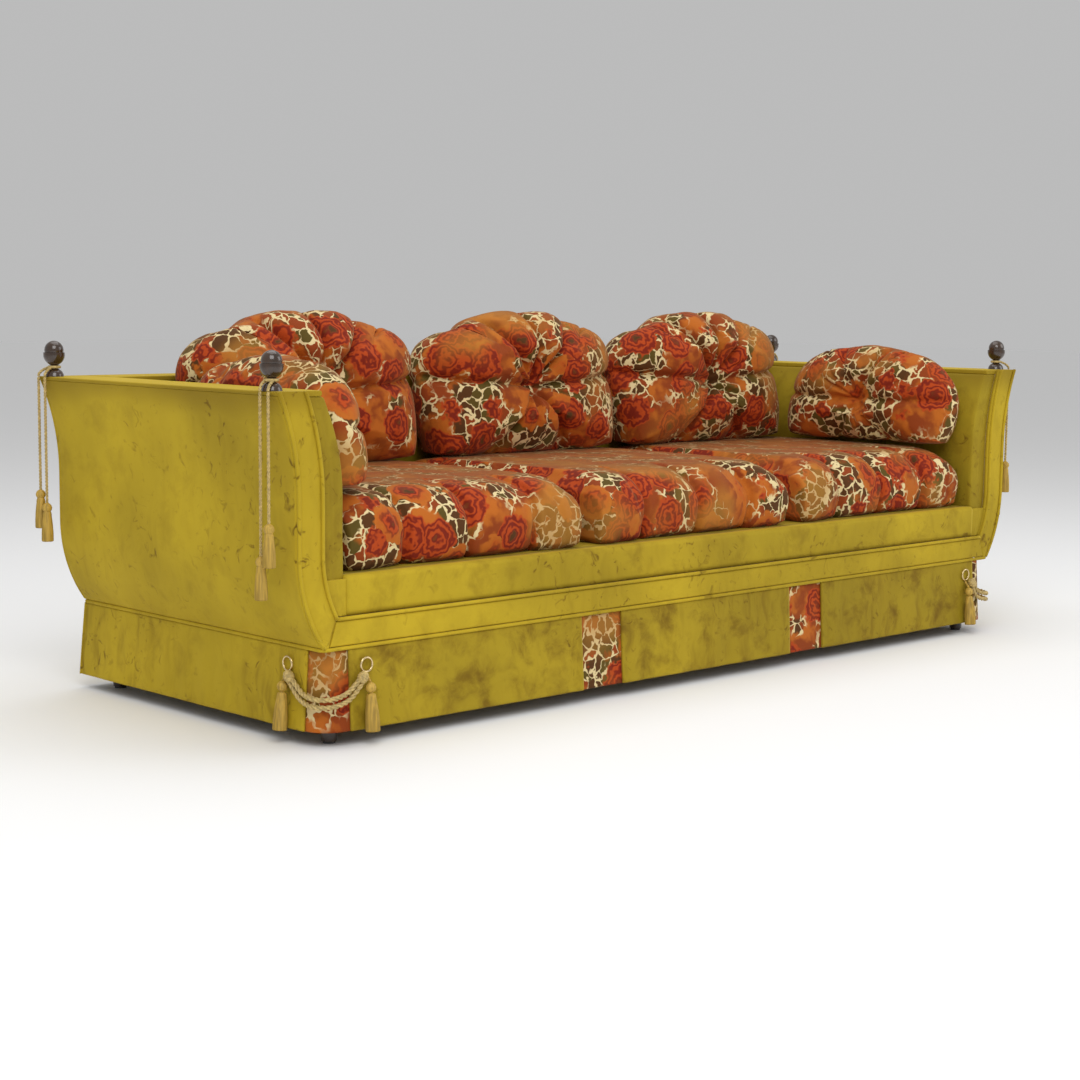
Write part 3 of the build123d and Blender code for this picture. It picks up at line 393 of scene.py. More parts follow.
def velvet(name, light, dark, streak, mottle):
    """Crushed velvet in Object coordinates: turned pile is darker, upright pile lighter. The tops of the arms
    and the back are darker too, and a painted sheen makes it lighter where the surface is seen at a grazing
    angle.
    """
    tree, shader = principled(name)
    where = tree.nodes.new("ShaderNodeTexCoord").outputs["Object"]
    nap = use_group(tree, "crushed_nap", where, Streak=streak, Mottle=mottle)
    cloud = noise_node(tree, where, 2.6, 2.0)
    shade = mix_colour(tree, step_mask(tree, cloud.outputs[0], 0.3, 0.75), light, [c * 0.72 for c in light])
    # Darker along the tops of the arms and the back, mixed in with the turned pile
    height = add_node(tree, "ShaderNodeSeparateXYZ", [(0, where)]).outputs[2]
    height = maths(tree, "ADD", height, maths(tree, "MULTIPLY", cloud.outputs[0], 0.12))
    top = maths(tree, "MULTIPLY", step_mask(tree, height, ARM_TOP - 0.03, ARM_TOP + 0.07), 0.55)
    colour = mix_colour(tree, maths(tree, "MAXIMUM", nap.outputs["Mask"], top), shade, dark)
    # Painted sheen: the colour turns lighter where the surface is seen at a grazing angle
    slope = add_node(tree, "ShaderNodeLayerWeight", Blend=0.5).outputs["Facing"]
    edge = maths(tree, "MULTIPLY", step_mask(tree, slope, 0.5, 1.0), 0.45)
    colour = mix_colour(tree, edge, colour, [min(1.0, c * 1.35) for c in light])
    finish_pile(tree, shader, colour, nap.outputs["Height"], 0.0016, 0.78)
    set_inputs(shader, Sheen_Weight=0.12, Sheen_Roughness=0.35, Sheen_Tint=(1.0, 0.82, 0.3, 1))


def floral_group():
    """A generic flowered cut velvet: soft roses with a dark heart on a rust ground, and clusters of dark leaf
    cells between them with broken pale outlines. It is worked through the solid, so that it never stretches."""
    tree, given, out = new_group(
        "flowered_figure",
        [("Vector", "NodeSocketVector", None)],
        [("Color", "NodeSocketColor"), ("Height", "NodeSocketFloat")],
    )
    where = given.outputs[0]
    cloth = warped(tree, where, where, 22.0, 1.0, 0.03)
    cloth = warped(tree, cloth, where, 75.0, 1.0, 0.013)
    # Ground: soft blotches of rust and orange
    blotch = noise_node(tree, cloth, 17.0, 2.0)
    ground = mix_colour(tree, step_mask(tree, blotch.outputs[0], 0.42, 0.62), RUST, ORANGE)
    # Leaf cells in clusters, each with a pale outline that breaks off
    cells = add_node(tree, "ShaderNodeTexVoronoi", [("Vector", cloth)], Scale=33.0)
    edges = add_node(tree, "ShaderNodeTexVoronoi", [("Vector", cloth)], Scale=33.0)
    edges.feature = "DISTANCE_TO_EDGE"
    chance = add_node(tree, "ShaderNodeSeparateColor", [(0, cells.outputs["Color"])])
    leaves = mix_colour(tree, step_mask(tree, chance.outputs[0], 0.3, 0.42), OLIVE_LEAF, BROWN_LEAF)
    leaves = mix_colour(tree, step_mask(tree, chance.outputs[1], 0.66, 0.7), leaves, RUST)
    cluster = noise_node(tree, cloth, 9.0, 1.0)
    leafy = step_mask(tree, cluster.outputs[0], 0.44, 0.5)
    figure = mix_colour(tree, leafy, ground, leaves)
    broken = noise_node(tree, cloth, 48.0, 1.0)
    width = maths(tree, "MULTIPLY", maths(tree, "SUBTRACT", broken.outputs[0], 0.3), 0.27)
    rim = maths(tree, "SUBTRACT", edges.outputs["Distance"], width)
    outline = maths(tree, "SUBTRACT", 1.0, step_mask(tree, rim, -0.015, 0.03), True)
    wide = maths(tree, "MULTIPLY", step_mask(tree, cluster.outputs[0], 0.4, 0.46), outline)
    # Roses: soft petals round a dark heart
    roses = add_node(tree, "ShaderNodeTexVoronoi", [("Vector", cloth)], Scale=10.0, Randomness=0.85)
    frill = noise_node(tree, where, 60.0, 1.0)
    petal = maths(tree, "ADD", roses.outputs["Distance"], maths(tree, "MULTIPLY", frill.outputs[0], 0.22))
    ring = maths(tree, "SINE", maths(tree, "MULTIPLY", petal, 46.0))
    petals = mix_colour(tree, step_mask(tree, ring, -0.8, 0.9), DEEP_RED, ROSE)
    pick = add_node(tree, "ShaderNodeSeparateColor", [(0, roses.outputs["Color"])])
    picked = step_mask(tree, pick.outputs[0], 0.68, 0.8)
    warm = maths(tree, "MULTIPLY", step_mask(tree, petal, 0.3, 0.54), picked)
    petals = mix_colour(tree, warm, petals, ORANGE)
    heart = maths(tree, "SUBTRACT", 1.0, step_mask(tree, petal, 0.16, 0.26), True)
    petals = mix_colour(tree, heart, petals, BROWN_LEAF)
    rose_mask = maths(tree, "SUBTRACT", 1.0, step_mask(tree, petal, 0.56, 0.62), True)
    figure = mix_colour(tree, rose_mask, figure, petals)
    wide = maths(tree, "MULTIPLY", wide, maths(tree, "SUBTRACT", 1.0, rose_mask))
    figure = mix_colour(tree, wide, figure, CREAM)
    height = maths(tree, "SUBTRACT", 1.0, wide)
    tree.links.new(figure, out.inputs["Color"])
    tree.links.new(height, out.inputs["Height"])


def floral_velvet():
    """Cut velvet: the flowered figure in Object coordinates, tan in worn patches, with a painted sheen of brown
    where the surface is seen at a grazing angle."""
    tree, shader = principled("flowered_velvet")
    where = tree.nodes.new("ShaderNodeTexCoord").outputs["Object"]
    figure = use_group(tree, "flowered_figure", where)
    slope = add_node(tree, "ShaderNodeLayerWeight", Blend=0.5).outputs["Facing"]
    worn = noise_node(tree, where, 4.0, 2.0)
    bare = maths(tree, "MULTIPLY", step_mask(tree, worn.outputs[0], 0.52, 0.68), 0.6)
    colour = mix_colour(tree, bare, figure.outputs["Color"], TAN)
    # Painted sheen: brown where the surface is seen at a grazing angle
    along = maths(tree, "MULTIPLY", step_mask(tree, slope, 0.55, 1.0), 0.7)
    colour = mix_colour(tree, along, colour, PAINTED_SHEEN_BROWN)
    finish_pile(tree, shader, colour, figure.outputs["Height"], 0.0012, 0.8)
    set_inputs(shader, Sheen_Weight=0.1, Sheen_Roughness=0.4, Sheen_Tint=(1, 0.78, 0.5, 1))


def plain(name, colour, roughness, metallic=0.0, coat=0.0, grain=None):
    """A plain finish, with slow changes of shade where a grain is given as its scale along X, Y and Z."""
    tree, shader = principled(name)
    set_inputs(shader, Roughness=roughness, Metallic=metallic, Coat_Weight=coat)
    if grain is None:
        shader.inputs["Base Color"].default_value = (*colour, 1)
        return
    where = tree.nodes.new("ShaderNodeTexCoord").outputs["Object"]
    stretch = add_node(tree, "ShaderNodeMapping", [("Vector", where)], Scale=grain)
    noise = noise_node(tree, stretch.outputs[0], 1.0, 3.0)
    shade = mix_colour(tree, step_mask(tree, noise.outputs[0], 0.3, 0.7), colour, [c * 0.6 for c in colour])
    tree.links.new(shade, shader.inputs["Base Color"])
    tree.links.new(bump(tree, noise.outputs[0], 0.0004, 0.3), shader.inputs["Normal"])


def make_materials(looks):
    """Build the shared groups and every finish once."""
    nap_group()
    floral_group()
    velvet("crushed_velvet", looks.velvet_light, looks.velvet_dark, 0.2, 0.3)
    velvet("skirt_velvet", looks.velvet_light, looks.velvet_dark, 0.5, 0.45)
    # The front skirt's velvet is a darker copy of the skirt's velvet, a painted shade, with heavier crush marks
    velvet("front_skirt_velvet", [c * 0.76 for c in looks.velvet_light], looks.velvet_dark, 0.6, 0.95)
    # The seat edge's velvet is a slightly darker copy of the arm velvet, a painted shade, with more blotches
    velvet("front_velvet", [c * 0.92 for c in looks.velvet_light], looks.velvet_dark, 0.2, 0.55)
    velvet("shaded_velvet", [c * 0.66 for c in looks.velvet_light], looks.velvet_dark, 0.3, 0.6)
    floral_velvet()
    plain("cord_silk", tuple(looks.cord_colour), 0.55, grain=(160, 160, 160))
    plain("tassel_silk", tuple(looks.tassel_colour), 0.6, grain=(260, 260, 20))
    plain("dark_lacquer", tuple(looks.finial_colour), 0.22, coat=0.6, grain=(60, 60, 25))
    plain("planed_wood", (0.5, 0.34, 0.18), 0.6, grain=(6, 60, 60))
    plain("jute", (0.4, 0.32, 0.2), 0.9, grain=(180, 180, 180))
    plain("zinc", (0.55, 0.55, 0.55), 0.35, metallic=1.0)
    plain("nylon", (0.03, 0.03, 0.03), 0.5)
    plain("polished_brass", (0.72, 0.56, 0.3), 0.25, metallic=1.0)


def dress_node(node, material):
    """Give a shown solid its finish."""
    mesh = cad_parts[node].data
    mesh.materials.clear()
    mesh.materials.append(bpy.data.materials[material])


# Upholstery of the body


def band_rings(heights, depths, outer, inner, rounding, step, side, seed=0):
    """A padded band carried up an arm's curve: at each height the section is a rounded rectangle between two
    half widths and two depths, drawn in at both ends, and slightly rippled where a seed is given."""
    levels, insets = soft_steps(*heights, rounding, step)
    reach = depths[1] - depths[0]
    loop = slab_loop(reach, 2 * rounding, rounding, max(4, int(reach / step)))
    across = loop[:, 1] / (2 * rounding) + 0.5
    outside, inside = outer(levels), inner(levels)
    depth = sum(depths) / 2 + loop[None, :, 0] * (1 - 2 * insets[:, None] / reach)
    span = outside - inside
    draw = np.minimum(insets / span, 0.45)
    share = draw[:, None] + across[None] * (1 - 2 * draw[:, None])
    x = inside[:, None] + share * span[:, None]
    rings = joined(side * x, depth, levels[:, None])
    if seed:
        rings[..., 0] += side * ripple(rings, seed, 0.16, 0.8 * MM)
    return rings


def panel_rings(heights, depths, half_width, rounding, step, columns):
    """A padded panel across the sofa: at each height a rounded rectangle as wide as the outline there, drawn in
    along all its edges."""
    levels, insets = soft_steps(*heights, rounding, step)
    thickness = depths[1] - depths[0]
    loop = slab_loop(2.0, thickness, rounding, columns)
    x = loop[None, :, 0] * (half_width(levels) - insets)[:, None]
    y = sum(depths) / 2 + loop[None, :, 1] * (1 - 2 * insets[:, None] / thickness)
    return joined(x, y, levels[:, None])


def long_rings(section, low, high, rounding, step, ends=None):
    """A padded strip carried along X: its section is a loop of Y and Z, drawn in towards its middle at both
    ends. ends gives the half length at a height, for mitred ends."""
    places, insets = soft_steps(low, high, rounding, step)
    middle = section.mean(axis=0)
    reach = np.abs(section - middle).max(axis=0)
    loop = middle + (section - middle) * (1 - insets[:, None, None] / reach)
    x = np.repeat(places[:, None], len(section), 1)
    if ends is not None:
        x = x / high * ends(loop[..., 1])
    return np.concatenate([x[..., None], loop], -1)


def facing_rings(side):
    """The band on the front of an arm: a pillowed section between its two welts, carried down the ogee and cut
    on the mitre at the border."""
    levels, _ = soft_steps(BASE_LINE, ARM_TOP, 2 * MM, 8 * MM)
    across = np.linspace(0, 1, 17)
    pillow = FRONT + 4.5 * MM * (2 * across - 1) ** 4
    share = np.concatenate([across, across[::-1]])
    depth = np.concatenate([pillow, np.full(len(across), RAIL_FRONT)])
    outside = arm_outside(levels, 1.5 * MM)
    band = arm_outside(np.maximum(levels, BORDER_TOP), FACING_WIDTH)
    inside = np.where(levels < BORDER_TOP, mitre_line(levels), band)
    x = outside[:, None] + (inside - outside)[:, None] * share[None]
    rings = joined(side * x, depth[None], levels[:, None])
    rings[..., 1] -= ripple(rings, 51 + side, 0.09, 0.7 * MM) * (depth < RAIL_FRONT - 4 * MM)
    return rings


def lip_rings():
    """The seat's front edge: a step with a rounded nose over the rail, carried along the front."""
    radius = 12 * MM
    shelf = RAIL_FRONT + 30 * MM
    reach = INNER_WAIST - SEAM_GAP
    turn = np.linspace(0, math.pi / 2, 8)
    nose = np.stack([LIP_FRONT + radius * (1 - np.cos(turn)), SEAT_LINE - radius * (1 - np.sin(turn))], 1)
    rise = np.linspace((LIP_FRONT, BORDER_TOP), (LIP_FRONT, SEAT_LINE - radius), 7)[:-1]
    outer = np.concatenate([rise, nose, [(shelf, SEAT_LINE)]])
    under = np.linspace((RAIL_FRONT, BORDER_TOP), (RAIL_FRONT, RAIL_TOP), 8)[:-1]
    over = np.linspace((RAIL_FRONT, RAIL_TOP), (shelf, RAIL_TOP), len(outer) - len(under))
    section = np.concatenate([outer, over[::-1], under[::-1]])
    places = np.linspace(-reach, reach, 220)
    rings = joined(places[:, None], *section.T)
    face = (section[:, 0] < RAIL_FRONT - 1 * MM)[None]
    rings[..., 1] -= face * ripple(rings, 61, 0.14, 1.2 * MM)
    return rings


class SOFA_OT_upholstery(bpy.types.Operator):
    """Cover the arms, the back, the border and the seat's front edge with velvet"""

    bl_idname = "sofa.upholstery"
    bl_label = "Upholstery"

    def execute(self, context):
        for name, side in SIDES:
            self.arm(name, side)
        self.front()
        self.back()
        self.caps()
        return {"FINISHED"}

    def arm(self, name, side):
        """One arm: its outside cover, its inside lining, the end of the seat's edge and the front band."""
        cover = band_rings(
            (BASE_LINE, ARM_TOP - 2 * WELT_RADIUS),
            (FRONT + 5 * MM, FRAME_REAR),
            arm_outside,
            lambda z: arm_outside(z, COVER),
            COVER_ROUND,
            COVER_STEP,
            side,
            11 + side,
        )
        lining = band_rings(
            (LINING_FOOT, CAP_LOW),
            (RAIL_FRONT - 1 * MM, PAD_REAR),
            lambda z: arm_outside(z, FACING_WIDTH - COVER),
            arm_inside,
            5 * MM,
            COVER_STEP,
            side,
            21 + side,
        )
        edge_end = band_rings(
            (BORDER_TOP, SEAT_LINE - 6 * MM),
            (LIP_FRONT, RAIL_FRONT),
            lambda z: arm_outside(z, FACING_WIDTH - WELT_RADIUS),
            lambda z: np.full(np.shape(z), INNER_WAIST - 1 * MM),
            1 * MM,
            4 * MM,
            side,
        )
        covered(f"arm_cover_{name}", [cover], "crushed_velvet", f"outside_arm_{name}")
        covered(f"arm_lining_{name}", [lining], "shaded_velvet", f"inside_arm_pad_{name}", fill=0.8)
        covered(f"seat_edge_end_{name}", [edge_end], "front_velvet")
        covered(f"arm_front_{name}", [facing_rings(side)], "crushed_velvet", f"arm_facing_{name}", fill=0.7)

    def front(self):
        """The border with its mitred ends, the seat's front edge and the deck under the cushions."""
        border = slab_loop(BAND, BORDER_TOP - BASE_LINE - 2 * WELT_RADIUS, 5 * MM, 4)
        border += (FRONT + BAND / 2, (BORDER_TOP + BASE_LINE) / 2 - WELT_RADIUS)
        reach = HALF_BASE - MITRE_FOOT
        rings = long_rings(border, -reach, reach, 1 * MM, 10 * MM, mitre_line)
        rings[..., 1] -= ripple(rings, 31, 0.12, 0.8 * MM)
        covered("front_band", [rings], "crushed_velvet", "front_border", fill=0.6)
        covered("seat_edge", [lip_rings()], "front_velvet", "seat_front_lip", fill=0.7)
        deck = slab_loop(BACK_FACE - DECK_FRONT, SEAT_LINE - RAIL_TOP, 6 * MM, 20)
        deck += ((BACK_FACE + DECK_FRONT) / 2, (SEAT_LINE + RAIL_TOP) / 2)
        rings = long_rings(deck, -INNER_WAIST, INNER_WAIST, 5 * MM, 40 * MM)
        covered("seat_deck", [rings], "shaded_velvet", "seat_deck_pad", fill=0.8)

    def back(self):
        """The padded inside back between the arms and the one cover over the whole outline behind it."""
        depths = (BACK_FACE, PAD_REAR)
        rings = panel_rings(
            (RAIL_TOP, CAP_LOW), depths, lambda z: arm_inside(z, SEAM_GAP), 6 * MM, 14 * MM, 90
        )
        face = rings[..., 1] < sum(depths) / 2
        rings[..., 1] -= face * ripple(rings, 41, 0.2, 0.6 * MM)
        covered("back_lining", [rings], "shaded_velvet", "inside_back_pad", fill=0.8)
        rings = panel_rings((BASE_LINE, ARM_TOP), (FRAME_REAR, REAR), arm_outside, COVER_ROUND, 10 * MM, 120)
        covered("back_cover", [rings], "crushed_velvet", "outside_back")

    def caps(self):
        """Flat strips along the tops of the arms and the back, soft along their edges."""
        inner, outer = float(arm_inside(ARM_TOP)), float(arm_outside(ARM_TOP, 2 * WELT_RADIUS))
        thickness, middle = ARM_TOP - CAP_LOW, (ARM_TOP + CAP_LOW) / 2
        strip = slab_loop(outer - inner, thickness, CAP_ROUND, 10)
        places, insets = soft_steps(RAIL_FRONT, FRAME_REAR, CAP_ROUND, 12 * MM)
        x = (inner + outer) / 2 + strip[None, :, 0]
        z = middle + strip[None, :, 1] * (1 - 2 * insets[:, None] / thickness)
        patches = [joined(side * x, places[:, None], z) for _, side in SIDES]
        back = slab_loop(FRAME_REAR - BACK_FACE, thickness, CAP_ROUND, 8)
        back += ((FRAME_REAR + BACK_FACE) / 2, middle)
        reach = float(arm_inside(CAP_LOW, SEAM_GAP))
        patches.append(long_rings(back, -reach, reach, 1 * MM, 20 * MM))
        covered("top_strips", patches, "crushed_velvet", "top_caps")


# Welts


def tube_rings(path, radius, closed=False, sides=10):
    """A round tube: a circle square to the path at each of its points."""
    if closed:
        ahead = np.roll(path, -1, 0) - np.roll(path, 1, 0)
    else:
        ahead = np.gradient(path, axis=0)
    ahead /= np.linalg.norm(ahead, axis=1)[:, None]
    side, lift = carried_axes(ahead)
    turn = np.linspace(0, 2 * math.pi, sides, endpoint=False)
    return path[:, None] + radius * circles(turn, side, lift)


def circles(turn, side, lift):
    """Unit circles in the planes of two axes, one for each point of a path."""
    return np.cos(turn)[None, :, None] * side[:, None] + np.sin(turn)[None, :, None] * lift[:, None]


def carried_axes(ahead):
    """Two axes square to a path, carried along it with no twist: each is the last one less its part along the
    path."""
    last = np.array((0.0, 0.0, 1.0)) if abs(ahead[0][2]) < 0.9 else np.array((1.0, 0.0, 0.0))
    side = np.empty_like(ahead)
    for index, way in enumerate(ahead):
        last = last - way * (last @ way)
        last = last / np.linalg.norm(last)
        side[index] = last
    return side, np.cross(ahead, side)


def ogee_path(inset, low, side):
    """Points up the front of an arm's outline, from low to its top."""
    z = np.linspace(low, ARM_TOP, 70)
    return joined(side * arm_outside(z, inset), FRONT, z)


class SOFA_OT_welts(bpy.types.Operator):
    """Lay the velvet welts round the facings, along the border, the arm tops and the base"""

    bl_idname = "sofa.welts"
    bl_label = "Welts"
    corner_radius = 12 * MM

    def execute(self, context):
        patches = []
        top, level = ARM_TOP - WELT_RADIUS, BORDER_TOP - WELT_RADIUS
        for _, side in SIDES:
            edge = side * float(arm_outside(top, WELT_RADIUS))
            paths = (
                ogee_path(WELT_RADIUS, BASE_LINE, side),
                ogee_path(FACING_WIDTH - WELT_RADIUS, level, side),
                np.linspace((edge, FRONT, top), (edge, REAR, top), 80),
            )
            patches += [tube_rings(path, WELT_RADIUS) for path in paths]
        reach = float(arm_outside(level, FACING_WIDTH - WELT_RADIUS))
        line = np.linspace((-reach, FRONT, level), (reach, FRONT, level), 120)
        patches.append(tube_rings(line, WELT_RADIUS))
        covered("arm_piping", patches, "crushed_velvet", "arm_welts")
        covered("base_piping", [(self.base(), True)], "crushed_velvet", "base_welt")
        return {"FINISHED"}

    def base(self):
        """The welt above the skirt: straight along the four sides with a small arc at each corner."""
        half_x, half_y = (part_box("base_welt")[1][axis] - WELT_RADIUS - self.corner_radius for axis in (0, 1))
        turn = np.linspace(0, math.pi / 2, 8)
        path = []
        for corner, (sx, sy) in enumerate(((1, 1), (-1, 1), (-1, -1), (1, -1))):
            angle = turn + corner * math.pi / 2
            x = sx * half_x + self.corner_radius * np.cos(angle)
            y = sy * half_y + self.corner_radius * np.sin(angle)
            path.append(joined(x, y, SKIRT_TOP + WELT_RADIUS))
        return tube_rings(np.concatenate(path), WELT_RADIUS, True)


# Skirt

SKIRT_THICKNESS = 4.5 * MM
SKIRT_WAVE = 1.6 * MM
PLEAT_THICKNESS = 3.5 * MM
PLEAT_WAVE = 1.0 * MM
PLEAT_SETBACK = 6 * MM
PLEAT_LAP = 30 * MM
PLEAT_CORNER = 45 * MM


def hanging_rings(path, outward, thickness, seed, wave):
    """A hanging cloth: a line in plan carried down from the welt to the hem, leaning out on the way and waving a
    little more towards the hem. outward is the way out, one for all points or one for each."""
    outward = np.broadcast_to(outward, path.shape)
    drop = np.linspace(0, 1, 40)
    outer = path[None] + outward[None] * (SKIRT_FLARE * drop[:, None])[..., None]
    inner = outer - thickness * outward[None]
    loop = np.concatenate([outer, inner[:, ::-1]], 1)
    z = SKIRT_TOP + (SKIRT_HEM - SKIRT_TOP) * drop
    rings = np.concatenate([loop, np.repeat(z[:, None, None], loop.shape[1], 1)], -1)
    move = ripple(rings * (1.0, 1.0, 0.18), seed, 0.11, wave) * (0.25 + 0.75 * drop[:, None])
    out = np.concatenate([outward, outward[::-1]])
    rings[..., :2] += out[None] * (move[..., None] - wave)
    return rings


class SOFA_OT_skirt(bpy.types.Operator):
    """Hang the skirt's panels and the flowered inserts between them"""

    bl_idname = "sofa.skirt"
    bl_label = "Skirt"

    def execute(self, context):
        for seed, name in enumerate(PLACES):
            low, high = (corner[0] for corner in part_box(f"skirt_front_{name}"))
            path = np.linspace((low, FRONT), (high, FRONT), 90)
            rings = hanging_rings(path, (0.0, -1.0), SKIRT_THICKNESS, 71 + seed, SKIRT_WAVE)
            self.hang(f"front_skirt_{name}", rings, "front_skirt_velvet", f"skirt_front_{name}", high - low)
        for name, side in SIDES:
            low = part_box(f"skirt_side_{name}")[0][1]
            path = np.linspace((side * HALF_BASE, low), (side * HALF_BASE, REAR), 90)
            rings = hanging_rings(path, (float(side), 0.0), SKIRT_THICKNESS, 81 + side, SKIRT_WAVE)
            rings[..., 1] = low + (rings[..., 1] - low) * self.spread(rings, REAR - low)
            self.hang(f"side_skirt_{name}", rings, "skirt_velvet", f"skirt_side_{name}", REAR - low)
        path = np.linspace((-HALF_BASE, REAR), (HALF_BASE, REAR), 240)
        rings = hanging_rings(path, (0.0, 1.0), SKIRT_THICKNESS, 91, SKIRT_WAVE)
        rings[..., 0] *= self.spread(rings, HALF_BASE)
        self.hang("rear_skirt", rings, "skirt_velvet", "skirt_rear", 2 * HALF_BASE)
        place(skin("pleats", self.inserts(), "flowered_velvet"), "frame", "floral_velvet", "pleat_inserts")
        return {"FINISHED"}

    def spread(self, rings, length):
        """How far each level stretches to meet the next panel at the corner: the lean over the length."""
        return 1 + SKIRT_FLARE / length * np.linspace(0, 1, len(rings))[:, None]

    def hang(self, name, rings, finish, node, width):
        """One panel; the width is not used."""
        piece = covered(name, [rings], finish, node)

    def inserts(self):
        """The flowered cloth behind the gaps: two flat pleats in the front and one round each front corner."""
        centre_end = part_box("skirt_front_centre")[1][0]
        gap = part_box("skirt_front_right")[0][0] - centre_end
        reach, depth = gap / 2 + PLEAT_LAP, FRONT + PLEAT_SETBACK
        patches = []
        for _, side in SIDES:
            middle = side * (centre_end + gap / 2)
            path = np.linspace((middle - reach, depth), (middle + reach, depth), 60)
            patches.append(hanging_rings(path, (0.0, -1.0), PLEAT_THICKNESS, 101 + side, PLEAT_WAVE))
            patches.append(self.corner() * (side, 1, 1))
        return patches

    def corner(self):
        """The right corner's insert: along the front, round an arc and along the side."""
        out_x, out_y = HALF_BASE - PLEAT_SETBACK, FRONT + PLEAT_SETBACK
        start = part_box("skirt_front_right")[1][0] - PLEAT_LAP
        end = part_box("skirt_side_right")[0][1] + PLEAT_LAP
        turn = np.linspace(0, math.pi / 2, 24)
        arc = np.stack([np.sin(turn), -np.cos(turn)], 1) * PLEAT_CORNER
        arc += (out_x - PLEAT_CORNER, out_y + PLEAT_CORNER)
        front = np.linspace((start, out_y), arc[0], 14)[:-1]
        flank = np.linspace(arc[-1], (out_x, end), 14)[1:]
        way = np.concatenate([np.zeros(len(front)), turn, np.full(len(flank), math.pi / 2)])
        out = np.stack([np.sin(way), -np.cos(way)], 1)
        return hanging_rings(np.concatenate([front, arc, flank]), out, PLEAT_THICKNESS, 111, PLEAT_WAVE)


# Cushions

CLOTH_FRAMES = 20
MERGE_GRID = 0.02 * MM


def merged_copy(node):
    """A new mesh object with a node's shape, its loose triangles merged."""
    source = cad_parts[node].data
    points = points_of(source)
    source.calc_loop_triangles()
    corners = np.empty(len(source.loop_triangles) * 3, np.int32)
    source.loop_triangles.foreach_get("vertices", corners)
    keys = np.round(points / MERGE_GRID).astype(np.int64)
    _, first, back = np.unique(keys, axis=0, return_index=True, return_inverse=True)
    triangles = back.reshape(-1)[corners].reshape(-1, 3)
    whole = np.all(triangles != np.roll(triangles, 1, axis=1), axis=1)
    mesh = bpy.data.meshes.new(f"{node}_copy")
    mesh.from_pydata(points[first].tolist(), [], triangles[whole].tolist())
    copy = bpy.data.objects.new(f"{node}_copy", mesh)
    bpy.context.scene.collection.objects.link(copy)
    return copy


def bake(piece):
    """Replace an object's mesh by what its modifiers make of it."""
    graph = bpy.context.evaluated_depsgraph_get()
    mesh = bpy.data.meshes.new_from_object(piece.evaluated_get(graph))
    piece.modifiers.clear()
    piece.data = mesh


def array_of(rows, field):
    """A field of three numbers, for every row of a mesh's collection."""
    values = np.empty(len(rows) * 3, np.float32)
    rows.foreach_get(field, values)
    return values.reshape(-1, 3).astype(float)


def points_of(mesh):
    """A mesh's points."""
    return array_of(mesh.vertices, "co")


def normals_of(mesh):
    """A mesh's point normals."""
    return array_of(mesh.vertex_normals, "vector")


def set_points(mesh, points):
    """Move a mesh's points."""
    mesh.vertices.foreach_set("co", np.ascontiguousarray(points, np.float32).ravel())
    mesh.update()


def blow_up(piece, shrink, cap):
    """Shrink a closed mesh a little and blow it up as cloth under pressure, with no point moving further than
    the cap."""
    small = points_of(piece.data) - normals_of(piece.data) * shrink
    set_points(piece.data, small)
    cloth = piece.modifiers.new("cloth", "CLOTH")
    settings = cloth.settings
    settings.quality = 4
    settings.mass = 0.3
    settings.tension_stiffness = 12
    settings.compression_stiffness = 12
    settings.bending_stiffness = 0.4
    settings.use_pressure = True
    settings.uniform_pressure_force = 4
    settings.effector_weights.gravity = 0
    cloth.collision_settings.use_collision = False
    cloth.point_cache.frame_start = 1
    cloth.point_cache.frame_end = CLOTH_FRAMES
    scene = bpy.context.scene
    for moment in range(1, CLOTH_FRAMES + 1):
        scene.frame_set(moment)
    graph = bpy.context.evaluated_depsgraph_get()
    move = points_of(piece.evaluated_get(graph).data) - small
    scene.frame_set(1)
    piece.modifiers.clear()
    length = np.linalg.norm(move, axis=1)[:, None]
    set_points(piece.data, small + move * np.minimum(1, cap / np.maximum(length, 1e-9)))


def stuffed(node, voxel, shrink, cap):
    """A stuffed cushion from its solid: remeshed, blown up and subdivided once; gives its points, faces and
    normals."""
    piece = merged_copy(node)
    remesh = piece.modifiers.new("remesh", "REMESH")
    remesh.mode = "VOXEL"
    remesh.voxel_size = voxel
    bake(piece)
    blow_up(piece, shrink, cap)
    divide = piece.modifiers.new("divide", "SUBSURF")
    divide.levels = divide.render_levels = 1
    bake(piece)
    points, normals = points_of(piece.data), normals_of(piece.data)
    quads = np.empty(len(piece.data.loops), np.int32)
    piece.data.loops.foreach_get("vertex_index", quads)
    bpy.data.objects.remove(piece)
    return points, quads.reshape(-1, 4), normals


def cushion_piece(kind, name, points, quads):
    """A finished cushion on its own body."""
    piece = mesh_object(f"{kind}_pillow_{name}", points, quads, "flowered_velvet")
    place(piece, f"{kind}_{name}", "floral_velvet", f"{kind}_cushion_{name}")


def box_of(node):
    """A node's low and high corner as arrays."""
    return (np.array(corner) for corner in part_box(node))


def middle_of(node):
    """A node's middle along X."""
    return sum(corner[0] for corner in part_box(node)) / 2


def pulled(base, normals, pull, waves):
    """A cushion's points moved along their normals, first by a pull and then by a ripple with the given seed,
    scale and strength."""
    points = base + normals * pull[:, None]
    return points + normals * ripple(points, *waves)[:, None]


def groove(distance, width):
    """How deep a sewn tuck pulls in beside its line: a bell curve."""
    return np.exp(-((distance / width) ** 2))


